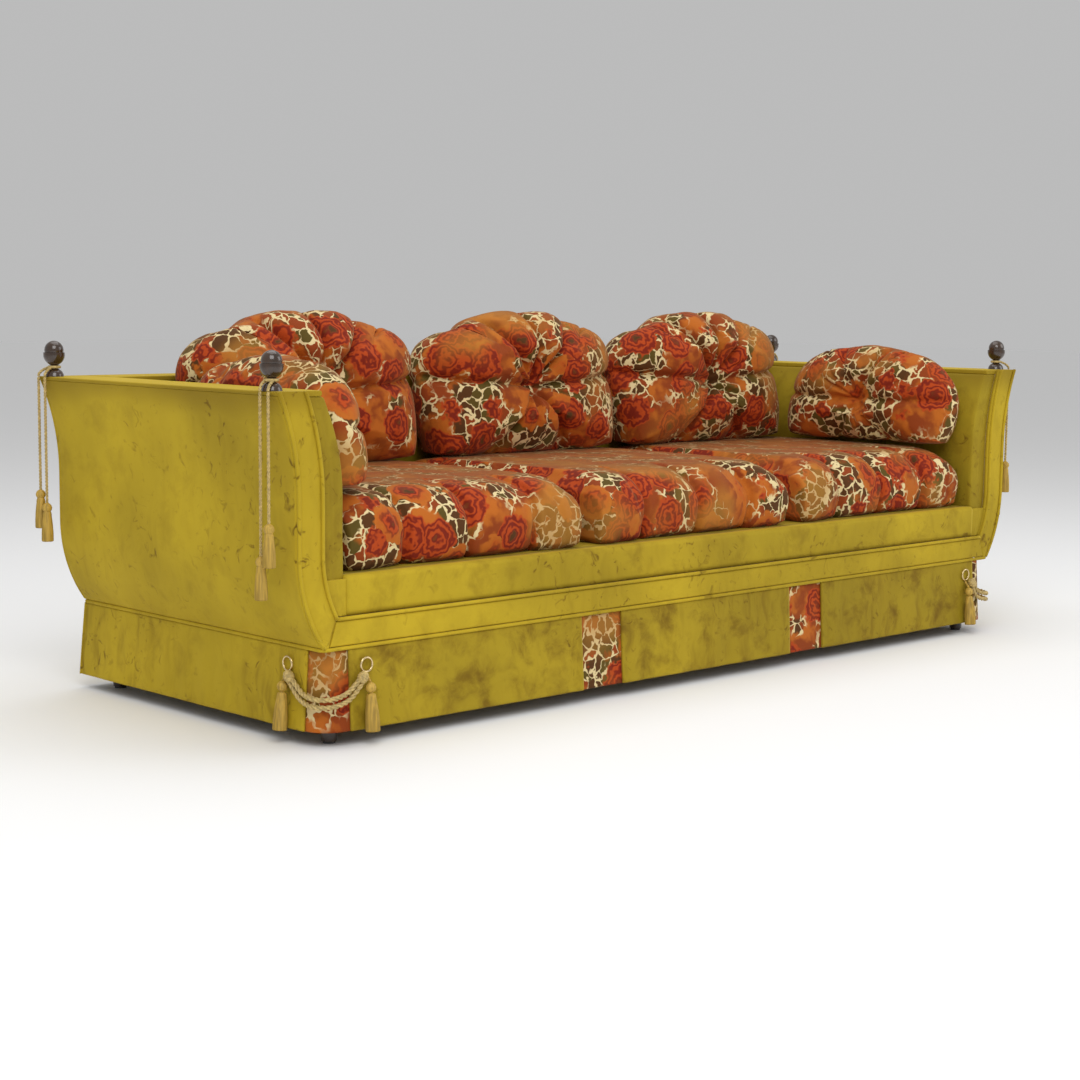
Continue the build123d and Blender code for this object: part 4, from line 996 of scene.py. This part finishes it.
def puffs(across, up, angles, rise):
    """Round puffs between neighbouring angles about a gathered middle: a half circle across each puff, growing
    with the distance from the middle."""
    angle = np.degrees(np.arctan2(up, across)) % 360
    reach = np.hypot(across, up)
    total = np.zeros(len(across))
    for start, end in zip(angles, angles[1:]):
        share = np.clip((angle - start) / (end - start), 0, 1)
        inside = (angle >= start) & (angle <= end)
        total += inside * (np.sqrt(np.clip(1 - (2 * share - 1) ** 2, 0, 1)) - 0.35)
    return rise * total * np.clip((reach - 0.02) / 0.09, 0, 1)


def beside(angle, line, reach):
    """Distance of each point from a line that runs out from the middle at an angle; far on its other side."""
    apart = np.abs((angle - line + 180) % 360 - 180)
    return reach * np.radians(apart) + (apart > 90)


def gathers(across, up, angles, seed, depth):
    """Pleats that run out from a gathered middle: deep grooves at the given angles and many small ones between
    them that die away from the middle."""
    draw = np.random.default_rng(seed)
    angle = np.degrees(np.arctan2(up, across))
    reach = np.hypot(across, up)
    total = np.zeros(len(across))
    for line in angles:
        fade = np.clip(reach / 0.05, 0.2, 1) * np.exp(-reach / 0.5)
        total -= depth * groove(beside(angle, line, reach), 9 * MM) * fade
    for _ in range(30):
        line = draw.uniform(-180, 180) + draw.uniform(-60, 60) * reach
        fade = np.exp(-((reach / draw.uniform(0.05, 0.13)) ** 2)) * np.clip(reach / 0.02, 0, 1)
        total -= 0.55 * depth * groove(beside(angle, line, reach), 5 * MM) * fade
    return total - 0.7 * depth * groove(reach, 20 * MM)


class SOFA_OT_seat_cushions(bpy.types.Operator):
    """Stuff the seat cushions and gather their fronts into puffs"""

    bl_idname = "sofa.seat_cushions"
    bl_label = "Seat cushions"
    tuck_shares = (0.25, 0.5, 0.75)
    loose_creases = 5

    def execute(self, context):
        depth = context.scene.sofa_looks.tuck_depth
        low, high = box_of("seat_cushion_centre")
        base, quads, normals = stuffed("seat_cushion_centre", voxel=8.6 * MM, shrink=8 * MM, cap=24 * MM)
        for seed, name in enumerate(PLACES):
            pull = self.tucks(base, low, high, seed, depth)
            points = pulled(base, normals, pull, (121 + seed, 0.13, 2.0 * MM))
            points = np.clip(points, low + (0.2 * MM, -3 * MM, 0), high + (-0.2 * MM, 0, 2 * MM))
            points[:, 0] += middle_of(f"seat_cushion_{name}")
            cushion_piece("seat", name, points, quads)
        return {"FINISHED"}

    def tucks(self, points, low, high, seed, depth):
        """Sewn tucks between the puffs, deep at the front edge and fading back over the top, and a few loose
        creases."""
        draw = np.random.default_rng(131 + seed)
        width = high[0] - low[0]
        x, back, up = points[:, 0], points[:, 1] - low[1], points[:, 2] - low[2]
        total = np.zeros(len(points))
        for share in self.tuck_shares:
            line = low[0] + width * (share + draw.uniform(-0.012, 0.012))
            bend = draw.uniform(-0.12, 0.12) * back + 6 * MM * np.sin(back * 30 + seed)
            fade = np.exp(-((back / draw.uniform(0.13, 0.22)) ** 2))
            total += draw.uniform(3, 9) * MM * groove(x - line, 35 * MM) * np.exp(-back / 0.2)
            total -= 0.8 * depth * groove(x - line - bend, 8 * MM) * fade
        for _ in range(self.loose_creases):
            line = low[0] + width * draw.uniform(0.04, 0.96)
            bend = draw.uniform(-0.5, 0.5) * up + draw.uniform(-0.3, 0.3) * back
            fade = np.exp(-((back / draw.uniform(0.03, 0.1)) ** 2))
            total -= 0.25 * depth * groove(x - line - bend, 8 * MM) * fade
        return total


class SOFA_OT_back_cushions(bpy.types.Operator):
    """Stuff the shell-shaped back cushions and gather them at the middle of the front"""

    bl_idname = "sofa.back_cushions"
    bl_label = "Back cushions"
    lean = 6.0
    lift = 180 * MM
    upper = (4, 50, 90, 130, 176)
    lower = (176, 232, 308, 364)

    def execute(self, context):
        looks = context.scene.sofa_looks
        low, high = box_of("back_cushion_centre")
        base, quads, normals = stuffed("back_cushion_centre", voxel=6.7 * MM, shrink=8 * MM, cap=22 * MM)
        x = base[:, 0]
        up = (base[:, 2] - low[2] - self.lift) / math.cos(math.radians(self.lean))
        front = np.clip(-normals[:, 1] * 1.6, 0, 1)
        shape = puffs(x, up, self.upper, looks.puff_rise) + puffs(x, up, self.lower, 0.4 * looks.puff_rise)
        for seed, name in enumerate(PLACES):
            pull = gathers(x, up, self.upper + self.lower[1:3], 141 + seed, looks.tuck_depth) + shape
            points = pulled(base, normals, pull * front, (151 + seed, 0.12, 2.2 * MM))
            points = np.clip(points, low + (0, -6 * MM, 0), high + (0, 0, 4 * MM))
            points[:, 0] += middle_of(f"back_cushion_{name}")
            cushion_piece("back", name, points, quads)
        return {"FINISHED"}


class SOFA_OT_arm_cushions(bpy.types.Operator):
    """Stuff the half-round arm cushions and gather them at the middle of the inner face"""

    bl_idname = "sofa.arm_cushions"
    bl_label = "Arm cushions"
    lift = 118 * MM
    upper = (2, 62, 118, 178)
    lower = (235, 305)

    def execute(self, context):
        looks = context.scene.sofa_looks
        low, high = box_of("arm_cushion_right")
        base, quads, normals = stuffed("arm_cushion_right", voxel=6 * MM, shrink=7 * MM, cap=20 * MM)
        across = base[:, 1] - (low[1] + high[1]) / 2
        up = base[:, 2] - low[2] - self.lift
        inner = np.clip(-normals[:, 0] * 1.6, 0, 1)
        shape = puffs(across, up, self.upper, 0.6 * looks.puff_rise)
        for name, side in SIDES:
            pull = gathers(across, up, self.upper + self.lower, 161 + side, 0.8 * looks.tuck_depth) + shape
            points = pulled(base, normals, pull * inner, (171 + side, 0.12, 2.0 * MM))
            points = np.clip(points, low + (-5 * MM, 0, 0), high + (0, 0, 4 * MM))
            points[:, 0] *= side
            cushion_piece("arm", name, points, quads if side > 0 else quads[:, ::-1])
        return {"FINISHED"}


# Cords and tassels

CORD_STRANDS = 3
CORD_SIDES = 24


def spline_points(route):
    """Points along a smooth line with the route's points as its control points."""
    curve = bpy.data.curves.new("route", "CURVE")
    curve.dimensions = "3D"
    curve.resolution_u = 16
    spline = curve.splines.new("NURBS")
    spline.points.add(len(route) - 1)
    for point, place_on in zip(spline.points, route):
        point.co = (*place_on, 1)
    spline.order_u = 3
    spline.use_endpoint_u = True
    holder = bpy.data.objects.new("route", curve)
    mesh = bpy.data.meshes.new_from_object(holder)
    points = points_of(mesh)
    bpy.data.objects.remove(holder)
    bpy.data.curves.remove(curve)
    bpy.data.meshes.remove(mesh)
    return points


def run_along(points):
    """The length run along a line up to each of its points."""
    return np.concatenate([[0], np.cumsum(np.linalg.norm(np.diff(points, axis=0), axis=1))])


def even_points(points, step):
    """The same line with points an even step apart, worked out along its length."""
    run = run_along(points)
    want = np.linspace(0, run[-1], max(4, int(run[-1] / step)))
    return np.stack([np.interp(want, run, points[:, axis]) for axis in range(3)], 1)


def twisted_rings(path, radius, pitch):
    """A cord laid up from round strands: at each point of the path the section is the outline of touching
    circles, turned by the length run so far over the pitch."""
    ahead = np.gradient(path, axis=0)
    ahead /= np.linalg.norm(ahead, axis=1)[:, None]
    side, lift = carried_axes(ahead)
    turn = np.linspace(0, 2 * math.pi, CORD_SIDES, endpoint=False)
    strand = radius / (1 + 1 / math.sin(math.pi / CORD_STRANDS))
    offset = radius - strand
    angle = turn[None] - 2 * math.pi * run_along(path)[:, None] / pitch
    sector = 2 * math.pi / CORD_STRANDS
    near = (angle + sector / 2) % sector - sector / 2
    reach = offset * np.cos(near) + np.sqrt(np.maximum(strand**2 - (offset * np.sin(near)) ** 2, 0))
    return path[:, None] + reach[..., None] * circles(turn, side, lift)


def ball_end(rings, path, centre, radius):
    """Round a cord's first end to a ball about a centre: a section before the centre shrinks to the ball's own
    section there, so that the end can turn about the centre."""
    ahead = (path[1] - path[0]) / np.linalg.norm(path[1] - path[0])
    before = np.clip((np.asarray(centre) - path) @ ahead, 0, radius)
    scale = np.sqrt(1 - (before / radius) ** 2)
    return path[:, None] + (rings - path[:, None]) * scale[:, None, None]


TASSEL_STEPS = np.array(
    (0, 0.02, 0.06, 0.12, 0.18, 0.22, 0.245, 0.26, 0.275, 0.29, 0.33, 0.45, 0.6, 0.8, 0.96, 1.0)
)
BINDING = slice(6, 10)
BINDING_TURNS = np.array((1.0, 1.14, 1.0, 1.14))


def tassel_rings(top, foot, length, radius, head, head_length, waist, stem, threads):
    """A tassel turned about the line from top to foot: a wound ball head, a bound waist and a skirt of threads,
    whose radius rises and falls with the angle to show each thread."""
    top, foot = np.array(top), np.array(foot)
    down = (foot - top) / np.linalg.norm(foot - top)
    side, lift = carried_axes(down[None])
    along = TASSEL_STEPS
    ball = np.sqrt(np.clip(1 - ((along * length - head_length / 2) / (head_length / 2)) ** 2, 0, 1))
    skirt = waist + (radius - waist) * np.clip((along - 0.28) / 0.45, 0, 1) ** 0.7
    profile = np.where(along < 0.24, np.maximum(stem, head * ball), skirt)
    profile[BINDING] = waist * BINDING_TURNS
    fine = np.linspace(0, 1, 60)
    turn = np.linspace(0, 2 * math.pi, 2 * threads, endpoint=False)
    ridge = np.arange(2 * threads) % 2
    depth = np.where(fine < 0.28, 0.03, 0.03 + 0.06 * fine)
    reach = np.interp(fine, along, profile)[:, None] * (1 - depth[:, None] * ridge[None])
    reach[-1] *= 0.9
    middle = top + fine[:, None] * (foot - top)
    return middle[:, None] + reach[..., None] * circles(turn, side, lift)


CORD_RADIUS = 3.25 * MM
CORD_PITCH = 22 * MM
STRAND_DROPS = {"front": (318 * MM, 252 * MM), "rear": (277 * MM, 249 * MM)}
STRAND_PLACES = {"front": (2 * MM, -24.5 * MM), "rear": (-4 * MM, 22.5 * MM)}
FINIAL_DEPTHS = {"front": FRONT + 49 * MM, "rear": REAR - 30 * MM}
FINIAL_X = float(arm_outside(ARM_TOP)) - 23 * MM
HANG_X = float(arm_outside(ARM_TOP)) + 3.6 * MM
PIVOT = ARM_TOP - 3 * MM
LEAD_ANGLES = (35, 75)
LEAD_RISE = 12 * MM
LOOP_RADIUS = 11.55 * MM
LOOP_LEVEL = ARM_TOP + 21 * MM
CORD_TASSEL = dict(
    length=86 * MM, radius=13 * MM, head=11 * MM, head_length=22 * MM, waist=8.5 * MM, threads=56
)


class SOFA_OT_cords(bpy.types.Operator):
    """Loop the cords round the finials and hang their strands and tassels"""

    bl_idname = "sofa.cords"
    bl_label = "Cords and tassels"

    def execute(self, context):
        loops = []
        for name, side in SIDES:
            for end in ENDS:
                loops += self.loop(side, end)
                self.strands(name, side, end)
        place(skin("finial_cords", loops, "cord_silk"), "frame", "gold_cord", "finial_loops")
        return {"FINISHED"}

    def loop(self, side, end):
        """A ring of cord round a finial's neck and two leads from it over the arm's edge."""
        middle = np.array((side * FINIAL_X, FINIAL_DEPTHS[end], LOOP_LEVEL))
        turn = np.linspace(0, 2 * math.pi, 60, endpoint=False)
        ring = middle + LOOP_RADIUS * joined(np.cos(turn), np.sin(turn), 0.0)
        patches = [(tube_rings(ring, CORD_RADIUS, True, 14), True)]
        stop = PIVOT + CORD_RADIUS + SEAM_GAP
        for place_y, angle in zip(STRAND_PLACES[end], np.radians(LEAD_ANGLES)):
            way = (side * math.cos(angle), math.copysign(math.sin(angle), place_y), 0)
            start = middle + LOOP_RADIUS * np.array(way)
            x, y = side * HANG_X, FINIAL_DEPTHS[end] + place_y
            route = [start, (x, y, stop + LEAD_RISE), (x, y, stop)]
            path = even_points(spline_points(route), 1.2 * MM)
            patches.append(twisted_rings(path, CORD_RADIUS, CORD_PITCH))
        return patches

    def strands(self, name, side, end):
        """Two straight hanging strands with a tassel on each, on their corner's own body."""
        body = f"cords_{end}_{name}"
        x = side * HANG_X
        hung = [(FINIAL_DEPTHS[end] + y, drop) for y, drop in zip(STRAND_PLACES[end], STRAND_DROPS[end])]
        tassels = []
        for y, drop in hung:
            low = PIVOT - drop
            foot = (x, y, low - CORD_TASSEL["length"])
            tassels.append(tassel_rings((x, y, low), foot, stem=CORD_RADIUS, **CORD_TASSEL))
        pair = skin(f"tassels_{end}_{name}", tassels, "tassel_silk")
        place(pair, body, "gold_tassel", f"cord_tassels_{end}_{name}")
        for number, (y, drop) in enumerate(hung):
            top = (x, y, PIVOT + CORD_RADIUS)
            route = [top, (x, y, PIVOT - drop / 2), (x, y, PIVOT - drop)]
            path = even_points(spline_points(route), 1 * MM)
            rings = twisted_rings(path, CORD_RADIUS, CORD_PITCH)
            rings = ball_end(rings, path, (x, y, PIVOT), CORD_RADIUS)
            strand = skin(f"strand_{end}_{name}_{number}", [rings], "cord_silk")
            place(strand, body, "gold_cord", f"cord_strands_{end}_{name}")


ROPE_RADIUS = 5.5 * MM
ROPE_PITCH = 36 * MM
# Control points of each rope on the front: distance from the corner and height, in millimetres
ROPE_POINTS = (
    ((80.1, 135.6), (64, 118), (46, 108), (12, 103)),
    ((88.1, 129.6), (71, 107), (52, 94), (13, 87)),
)
RING_X = HALF_BASE - 107 * MM
RING_HEIGHT = 163 * MM
RING_OUTER = 16.7 * MM
# How far in front of the skirt each part of a tie-back stands
ROPE_STAND = 1.5 * MM
CORNER_STAND = 9 * MM
KNOT_STAND = 12.3 * MM
STEM_STAND = 3.3 * MM
HEAD_STAND = 12.5 * MM
FOOT_STAND = 16.5 * MM
KNOT_SLOPE = math.radians(53)
KNOT_START = 17 * MM
KNOT_LENGTH = 24 * MM
KNOT_END_RADIUS = 7 * MM
KNOT_BULGE = 5 * MM
KNOT_TURNS = 5
STEM_RADIUS = 3 * MM
STEM_PITCH = 14 * MM
STEM_LENGTH = 14 * MM
TIE_TASSEL = dict(
    length=100 * MM, radius=15 * MM, head=11.5 * MM, head_length=22 * MM, waist=9 * MM, threads=64
)


def skirt_face(z):
    """Depth of the front skirt's face at height z, where it leans out towards the hem."""
    return FRONT - SKIRT_FLARE * (SKIRT_TOP - z) / (SKIRT_TOP - SKIRT_HEM)


KNOT_DEPTH = skirt_face(RING_HEIGHT - KNOT_LENGTH) - KNOT_STAND


def round_corner(points):
    """The same points on the other face of the right front corner, mirrored in the corner's diagonal."""
    x, y, z = np.moveaxis(np.asarray(points, float), -1, 0)
    return np.stack([HALF_BASE + FRONT - y, FRONT + HALF_BASE - x, z], -1)


class SOFA_OT_tiebacks(bpy.types.Operator):
    """Sling the double ropes round the front corners and hang their tassels from the rings"""

    bl_idname = "sofa.tiebacks"
    bl_label = "Tie-backs"

    def execute(self, context):
        dress_node("tieback_rings", "polished_brass")
        knots = {}
        for name, side in SIDES:
            barrels = [rings * (side, 1, 1) for rings in self.knots()]
            knots[name] = skin(f"tie_knots_{name}", barrels, "cord_silk")
            place(knots[name], "frame", "gold_cord", "tieback_knots")
        for number, points in enumerate(ROPE_POINTS):
            route = self.route(points)
            for name, side in SIDES:
                path = even_points(spline_points(route * (side, 1, 1)), 1.8 * MM)
                rope = skin(
                    f"tie_rope_{name}_{number}", [twisted_rings(path, ROPE_RADIUS, ROPE_PITCH)], "cord_silk"
                )
                place(rope, "frame", "gold_cord", "tieback_ropes")
        for name, side in SIDES:
            for face in ("front", "side"):
                self.tassel(face, name, side)
        return {"FINISHED"}

    def route(self, points):
        """A rope's control points from the front knot round the corner to the side knot."""
        away, z = np.array(points).T * MM
        y = skirt_face(z) - ROPE_RADIUS - ROPE_STAND
        y[0] = KNOT_DEPTH
        y[-1] = FRONT - ROPE_RADIUS - CORNER_STAND
        line = joined(HALF_BASE - away, y, z)
        return np.concatenate([line, round_corner(line)[::-1]])

    def knots(self):
        """Wound barrels below the rings, front and side: a bulged tube with turns of cord round it."""
        way = np.array((math.cos(KNOT_SLOPE), 0, -math.sin(KNOT_SLOPE)))
        along = np.linspace(0, 1, 60)
        path = (RING_X, KNOT_DEPTH, RING_HEIGHT) + way * (KNOT_START + KNOT_LENGTH * along[:, None])
        bulge = KNOT_END_RADIUS + KNOT_BULGE * np.sin(math.pi * along)
        wound = bulge * (1 - 0.09 * (1 + np.cos(2 * math.pi * along * KNOT_TURNS)) / 2)
        rings = path[:, None] + (tube_rings(path, 1.0, False, 28) - path[:, None]) * wound[:, None, None]
        return [rings, round_corner(rings)]

    def tassel(self, face, name, side):
        """A tassel on a short slanted stem under its ring, lying on the skirt."""
        stem_z = RING_HEIGHT - RING_OUTER - STEM_STAND
        head_z = stem_z - STEM_LENGTH
        line = np.array(
            (
                (RING_X, skirt_face(stem_z) - STEM_STAND, stem_z),
                (RING_X, skirt_face(head_z - TIE_TASSEL["head_length"]) - HEAD_STAND, head_z),
                (RING_X, FRONT - SKIRT_FLARE - FOOT_STAND, head_z - TIE_TASSEL["length"]),
            )
        )
        if face == "side":
            line = round_corner(line)
        pivot, head, foot = line * (side, 1, 1)
        top = pivot + (pivot - head) / np.linalg.norm(pivot - head) * STEM_RADIUS
        path = even_points(np.array((top, head)), 0.8 * MM)
        stem = ball_end(twisted_rings(path, STEM_RADIUS, STEM_PITCH), path, pivot, STEM_RADIUS)
        body = tassel_rings(head, foot, stem=STEM_RADIUS, **TIE_TASSEL)
        piece = skin(f"tie_tassel_{face}_{name}", [stem, body], "tassel_silk")
        place(piece, f"tie_{face}_{name}", "gold_tassel", f"tieback_tassel_{face}_{name}")


class SOFA_OT_hardware(bpy.types.Operator):
    """Give the frame, legs, finials and fixings their finishes"""

    bl_idname = "sofa.hardware"
    bl_label = "Frame and hardware"

    finishes = {
        "planed_wood": "seat_rails end_rails seat_braces arm_posts arm_top_rails back_rails back_uprights",
        "jute": "seat_webbing back_webbing dust_cover",
        "dark_lacquer": "legs finials",
        "zinc": "leg_fixings finial_screws",
        "nylon": "glides",
    }

    def execute(self, context):
        for finish, nodes in self.finishes.items():
            for node in nodes.split():
                dress_node(node, finish)
        return {"FINISHED"}


# Stage

CAMERA_PLACE = (-3.591, -3.5975, 0.900)
CAMERA_YAW = 43.88
CAMERA_PITCH = 6.80
CAMERA_ROLL = 0.58
CAMERA_LENS = 67.84
FLOOR_HALF = 30.0
# Name, place, target, size and power of each lamp
LAMPS = (
    ("key", (-3.2, -3.6, 4.2), (-0.2, 0, 0.4), 3.5, 150),
    ("fill", (3.6, -3.4, 2.6), (0, 0, 0.5), 3.0, 55),
    ("over", (0, 0.6, 4.6), (0, 0, 0.4), 4.0, 70),
)


class SOFA_OT_stage(bpy.types.Operator):
    """Set the pale floor, the soft lights and the camera"""

    bl_idname = "sofa.stage"
    bl_label = "Stage"

    def execute(self, context):
        scene = context.scene
        scene.view_settings.view_transform = "Standard"
        self.floor()
        self.world(scene)
        for lamp in LAMPS:
            self.lamp(*lamp)
        self.camera(scene)
        return {"FINISHED"}

    def floor(self):
        """A wide pale floor that shows as near white to the camera and keeps the shadow."""
        plain("floor", (0.9, 0.9, 0.9), 0.9)
        corners = FLOOR_HALF * np.array(((-1, -1, 0), (1, -1, 0), (1, 1, 0), (-1, 1, 0)))
        floor = mesh_object("floor", corners, np.array(((0, 1, 2, 3),)), "floor", False)

    def world(self, scene):
        """Plain soft light from all round, a pale grey to the camera."""
        world = bpy.data.worlds.new("studio")
        world.use_nodes = True
        tree = world.node_tree
        shade = tree.nodes["Background"]
        shade.inputs["Color"].default_value = (1, 1, 1, 1)
        shade.inputs["Strength"].default_value = 0.55
        bright = tree.nodes.new("ShaderNodeBackground")
        bright.inputs["Strength"].default_value = 1.0
        bright.inputs["Color"].default_value = (0.5, 0.5, 0.5, 1)
        path = tree.nodes.new("ShaderNodeLightPath")
        seen = maths(tree, "MAXIMUM", path.outputs["Is Camera Ray"], path.outputs["Is Glossy Ray"])
        seen = maths(tree, "MAXIMUM", seen, path.outputs["Is Transmission Ray"])
        mix = tree.nodes.new("ShaderNodeMixShader")
        tree.links.new(seen, mix.inputs[0])
        tree.links.new(shade.outputs[0], mix.inputs[1])
        tree.links.new(bright.outputs[0], mix.inputs[2])
        tree.links.new(mix.outputs[0], tree.nodes["World Output"].inputs["Surface"])
        scene.world = world

    def lamp(self, name, place_at, target, size, power):
        """A large square lamp at a place, facing a target."""
        light = bpy.data.lights.new(name, "AREA")
        light.size = size
        light.energy = power
        lamp = bpy.data.objects.new(name, light)
        lamp.location = place_at
        lamp.rotation_euler = (Vector(target) - Vector(place_at)).to_track_quat("-Z", "Y").to_euler()
        bpy.context.scene.collection.objects.link(lamp)

    def camera(self, scene):
        """The camera: turned by yaw from +Y, pitched down and rolled."""
        yaw, pitch, roll = (math.radians(a) for a in (CAMERA_YAW, CAMERA_PITCH, CAMERA_ROLL))
        ahead = Vector((math.sin(yaw) * math.cos(pitch), math.cos(yaw) * math.cos(pitch), -math.sin(pitch)))
        right = Vector((math.cos(yaw), -math.sin(yaw), 0))
        up = right.cross(ahead)
        right, up = right * math.cos(roll) + up * math.sin(roll), up * math.cos(roll) - right * math.sin(roll)
        data = bpy.data.cameras.new("camera")
        data.lens = CAMERA_LENS
        data.sensor_width = 36
        data.clip_end = 200
        camera = bpy.data.objects.new("camera", data)
        turn = Matrix((right, up, -ahead)).transposed().to_4x4()
        camera.matrix_world = Matrix.Translation(CAMERA_PLACE) @ turn
        scene.collection.objects.link(camera)
        scene.camera = camera


def colour(name, description, default):
    """A colour among the looks."""
    return bpy.props.FloatVectorProperty(
        name=name, description=description, subtype="COLOR", size=3, min=0, max=1, default=default
    )


class SofaLooks(bpy.types.PropertyGroup):
    """Colours and depths that change the sofa's looks"""

    velvet_light: colour("Velvet, upright pile", "Lighter shade of the crushed velvet", (0.55, 0.39, 0.018))
    velvet_dark: colour("Velvet, turned pile", "Darker shade of the crushed velvet", (0.15, 0.08, 0.002))
    cord_colour: colour("Cord", "Colour of the cords and ropes", (0.58, 0.42, 0.15))
    tassel_colour: colour("Tassel", "Colour of the tassels' threads", (0.6, 0.38, 0.06))
    finial_colour: colour("Finials and legs", "Colour of the lacquered wood", (0.05, 0.025, 0.012))
    tuck_depth: bpy.props.FloatProperty(
        name="Tuck depth", description="How deep the cushions' sewn tucks pull in", unit="LENGTH",
        min=0, max=0.03, default=0.017,
    )
    puff_rise: bpy.props.FloatProperty(
        name="Puff rise", description="How far the puffs of the back cushions swell", unit="LENGTH",
        min=0, max=0.04, default=0.026,
    )


class SOFA_PT_panel(bpy.types.Panel):
    """Lists the sofa's steps and looks"""

    bl_idname = "SOFA_PT_panel"
    bl_label = "Sofa"
    bl_space_type = "VIEW_3D"
    bl_region_type = "UI"
    bl_category = "Sofa"

    def draw(self, context):
        for name in SofaLooks.__annotations__:
            self.layout.prop(context.scene.sofa_looks, name)
        for operator in OPERATORS:
            self.layout.operator(operator.bl_idname)


OPERATORS = (
    SOFA_OT_stage,
    SOFA_OT_cords,
    SOFA_OT_tiebacks,
    SOFA_OT_upholstery,
    SOFA_OT_welts,
    SOFA_OT_skirt,
    SOFA_OT_seat_cushions,
    SOFA_OT_back_cushions,
    SOFA_OT_arm_cushions,
    SOFA_OT_hardware,
)
CLASSES = (SofaLooks, *OPERATORS, SOFA_PT_panel)


def register():
    """Add the classes and the scene's looks."""
    for cls in CLASSES:
        bpy.utils.register_class(cls)
    bpy.types.Scene.sofa_looks = bpy.props.PointerProperty(type=SofaLooks)


def unregister():
    """Take the looks and the classes away again."""
    del bpy.types.Scene.sofa_looks
    for cls in reversed(CLASSES):
        bpy.utils.unregister_class(cls)


def main():
    """Dress the frame step by step."""
    register()
    make_materials(bpy.context.scene.sofa_looks)
    bpy.ops.sofa.stage()
    bpy.ops.sofa.cords()
    bpy.ops.sofa.tiebacks()
    bpy.ops.sofa.upholstery()
    bpy.ops.sofa.welts()
    bpy.ops.sofa.skirt()
    bpy.ops.sofa.seat_cushions()
    bpy.ops.sofa.back_cushions()
    bpy.ops.sofa.arm_cushions()
    bpy.ops.sofa.hardware()


if __name__ == "__main__":
    main()
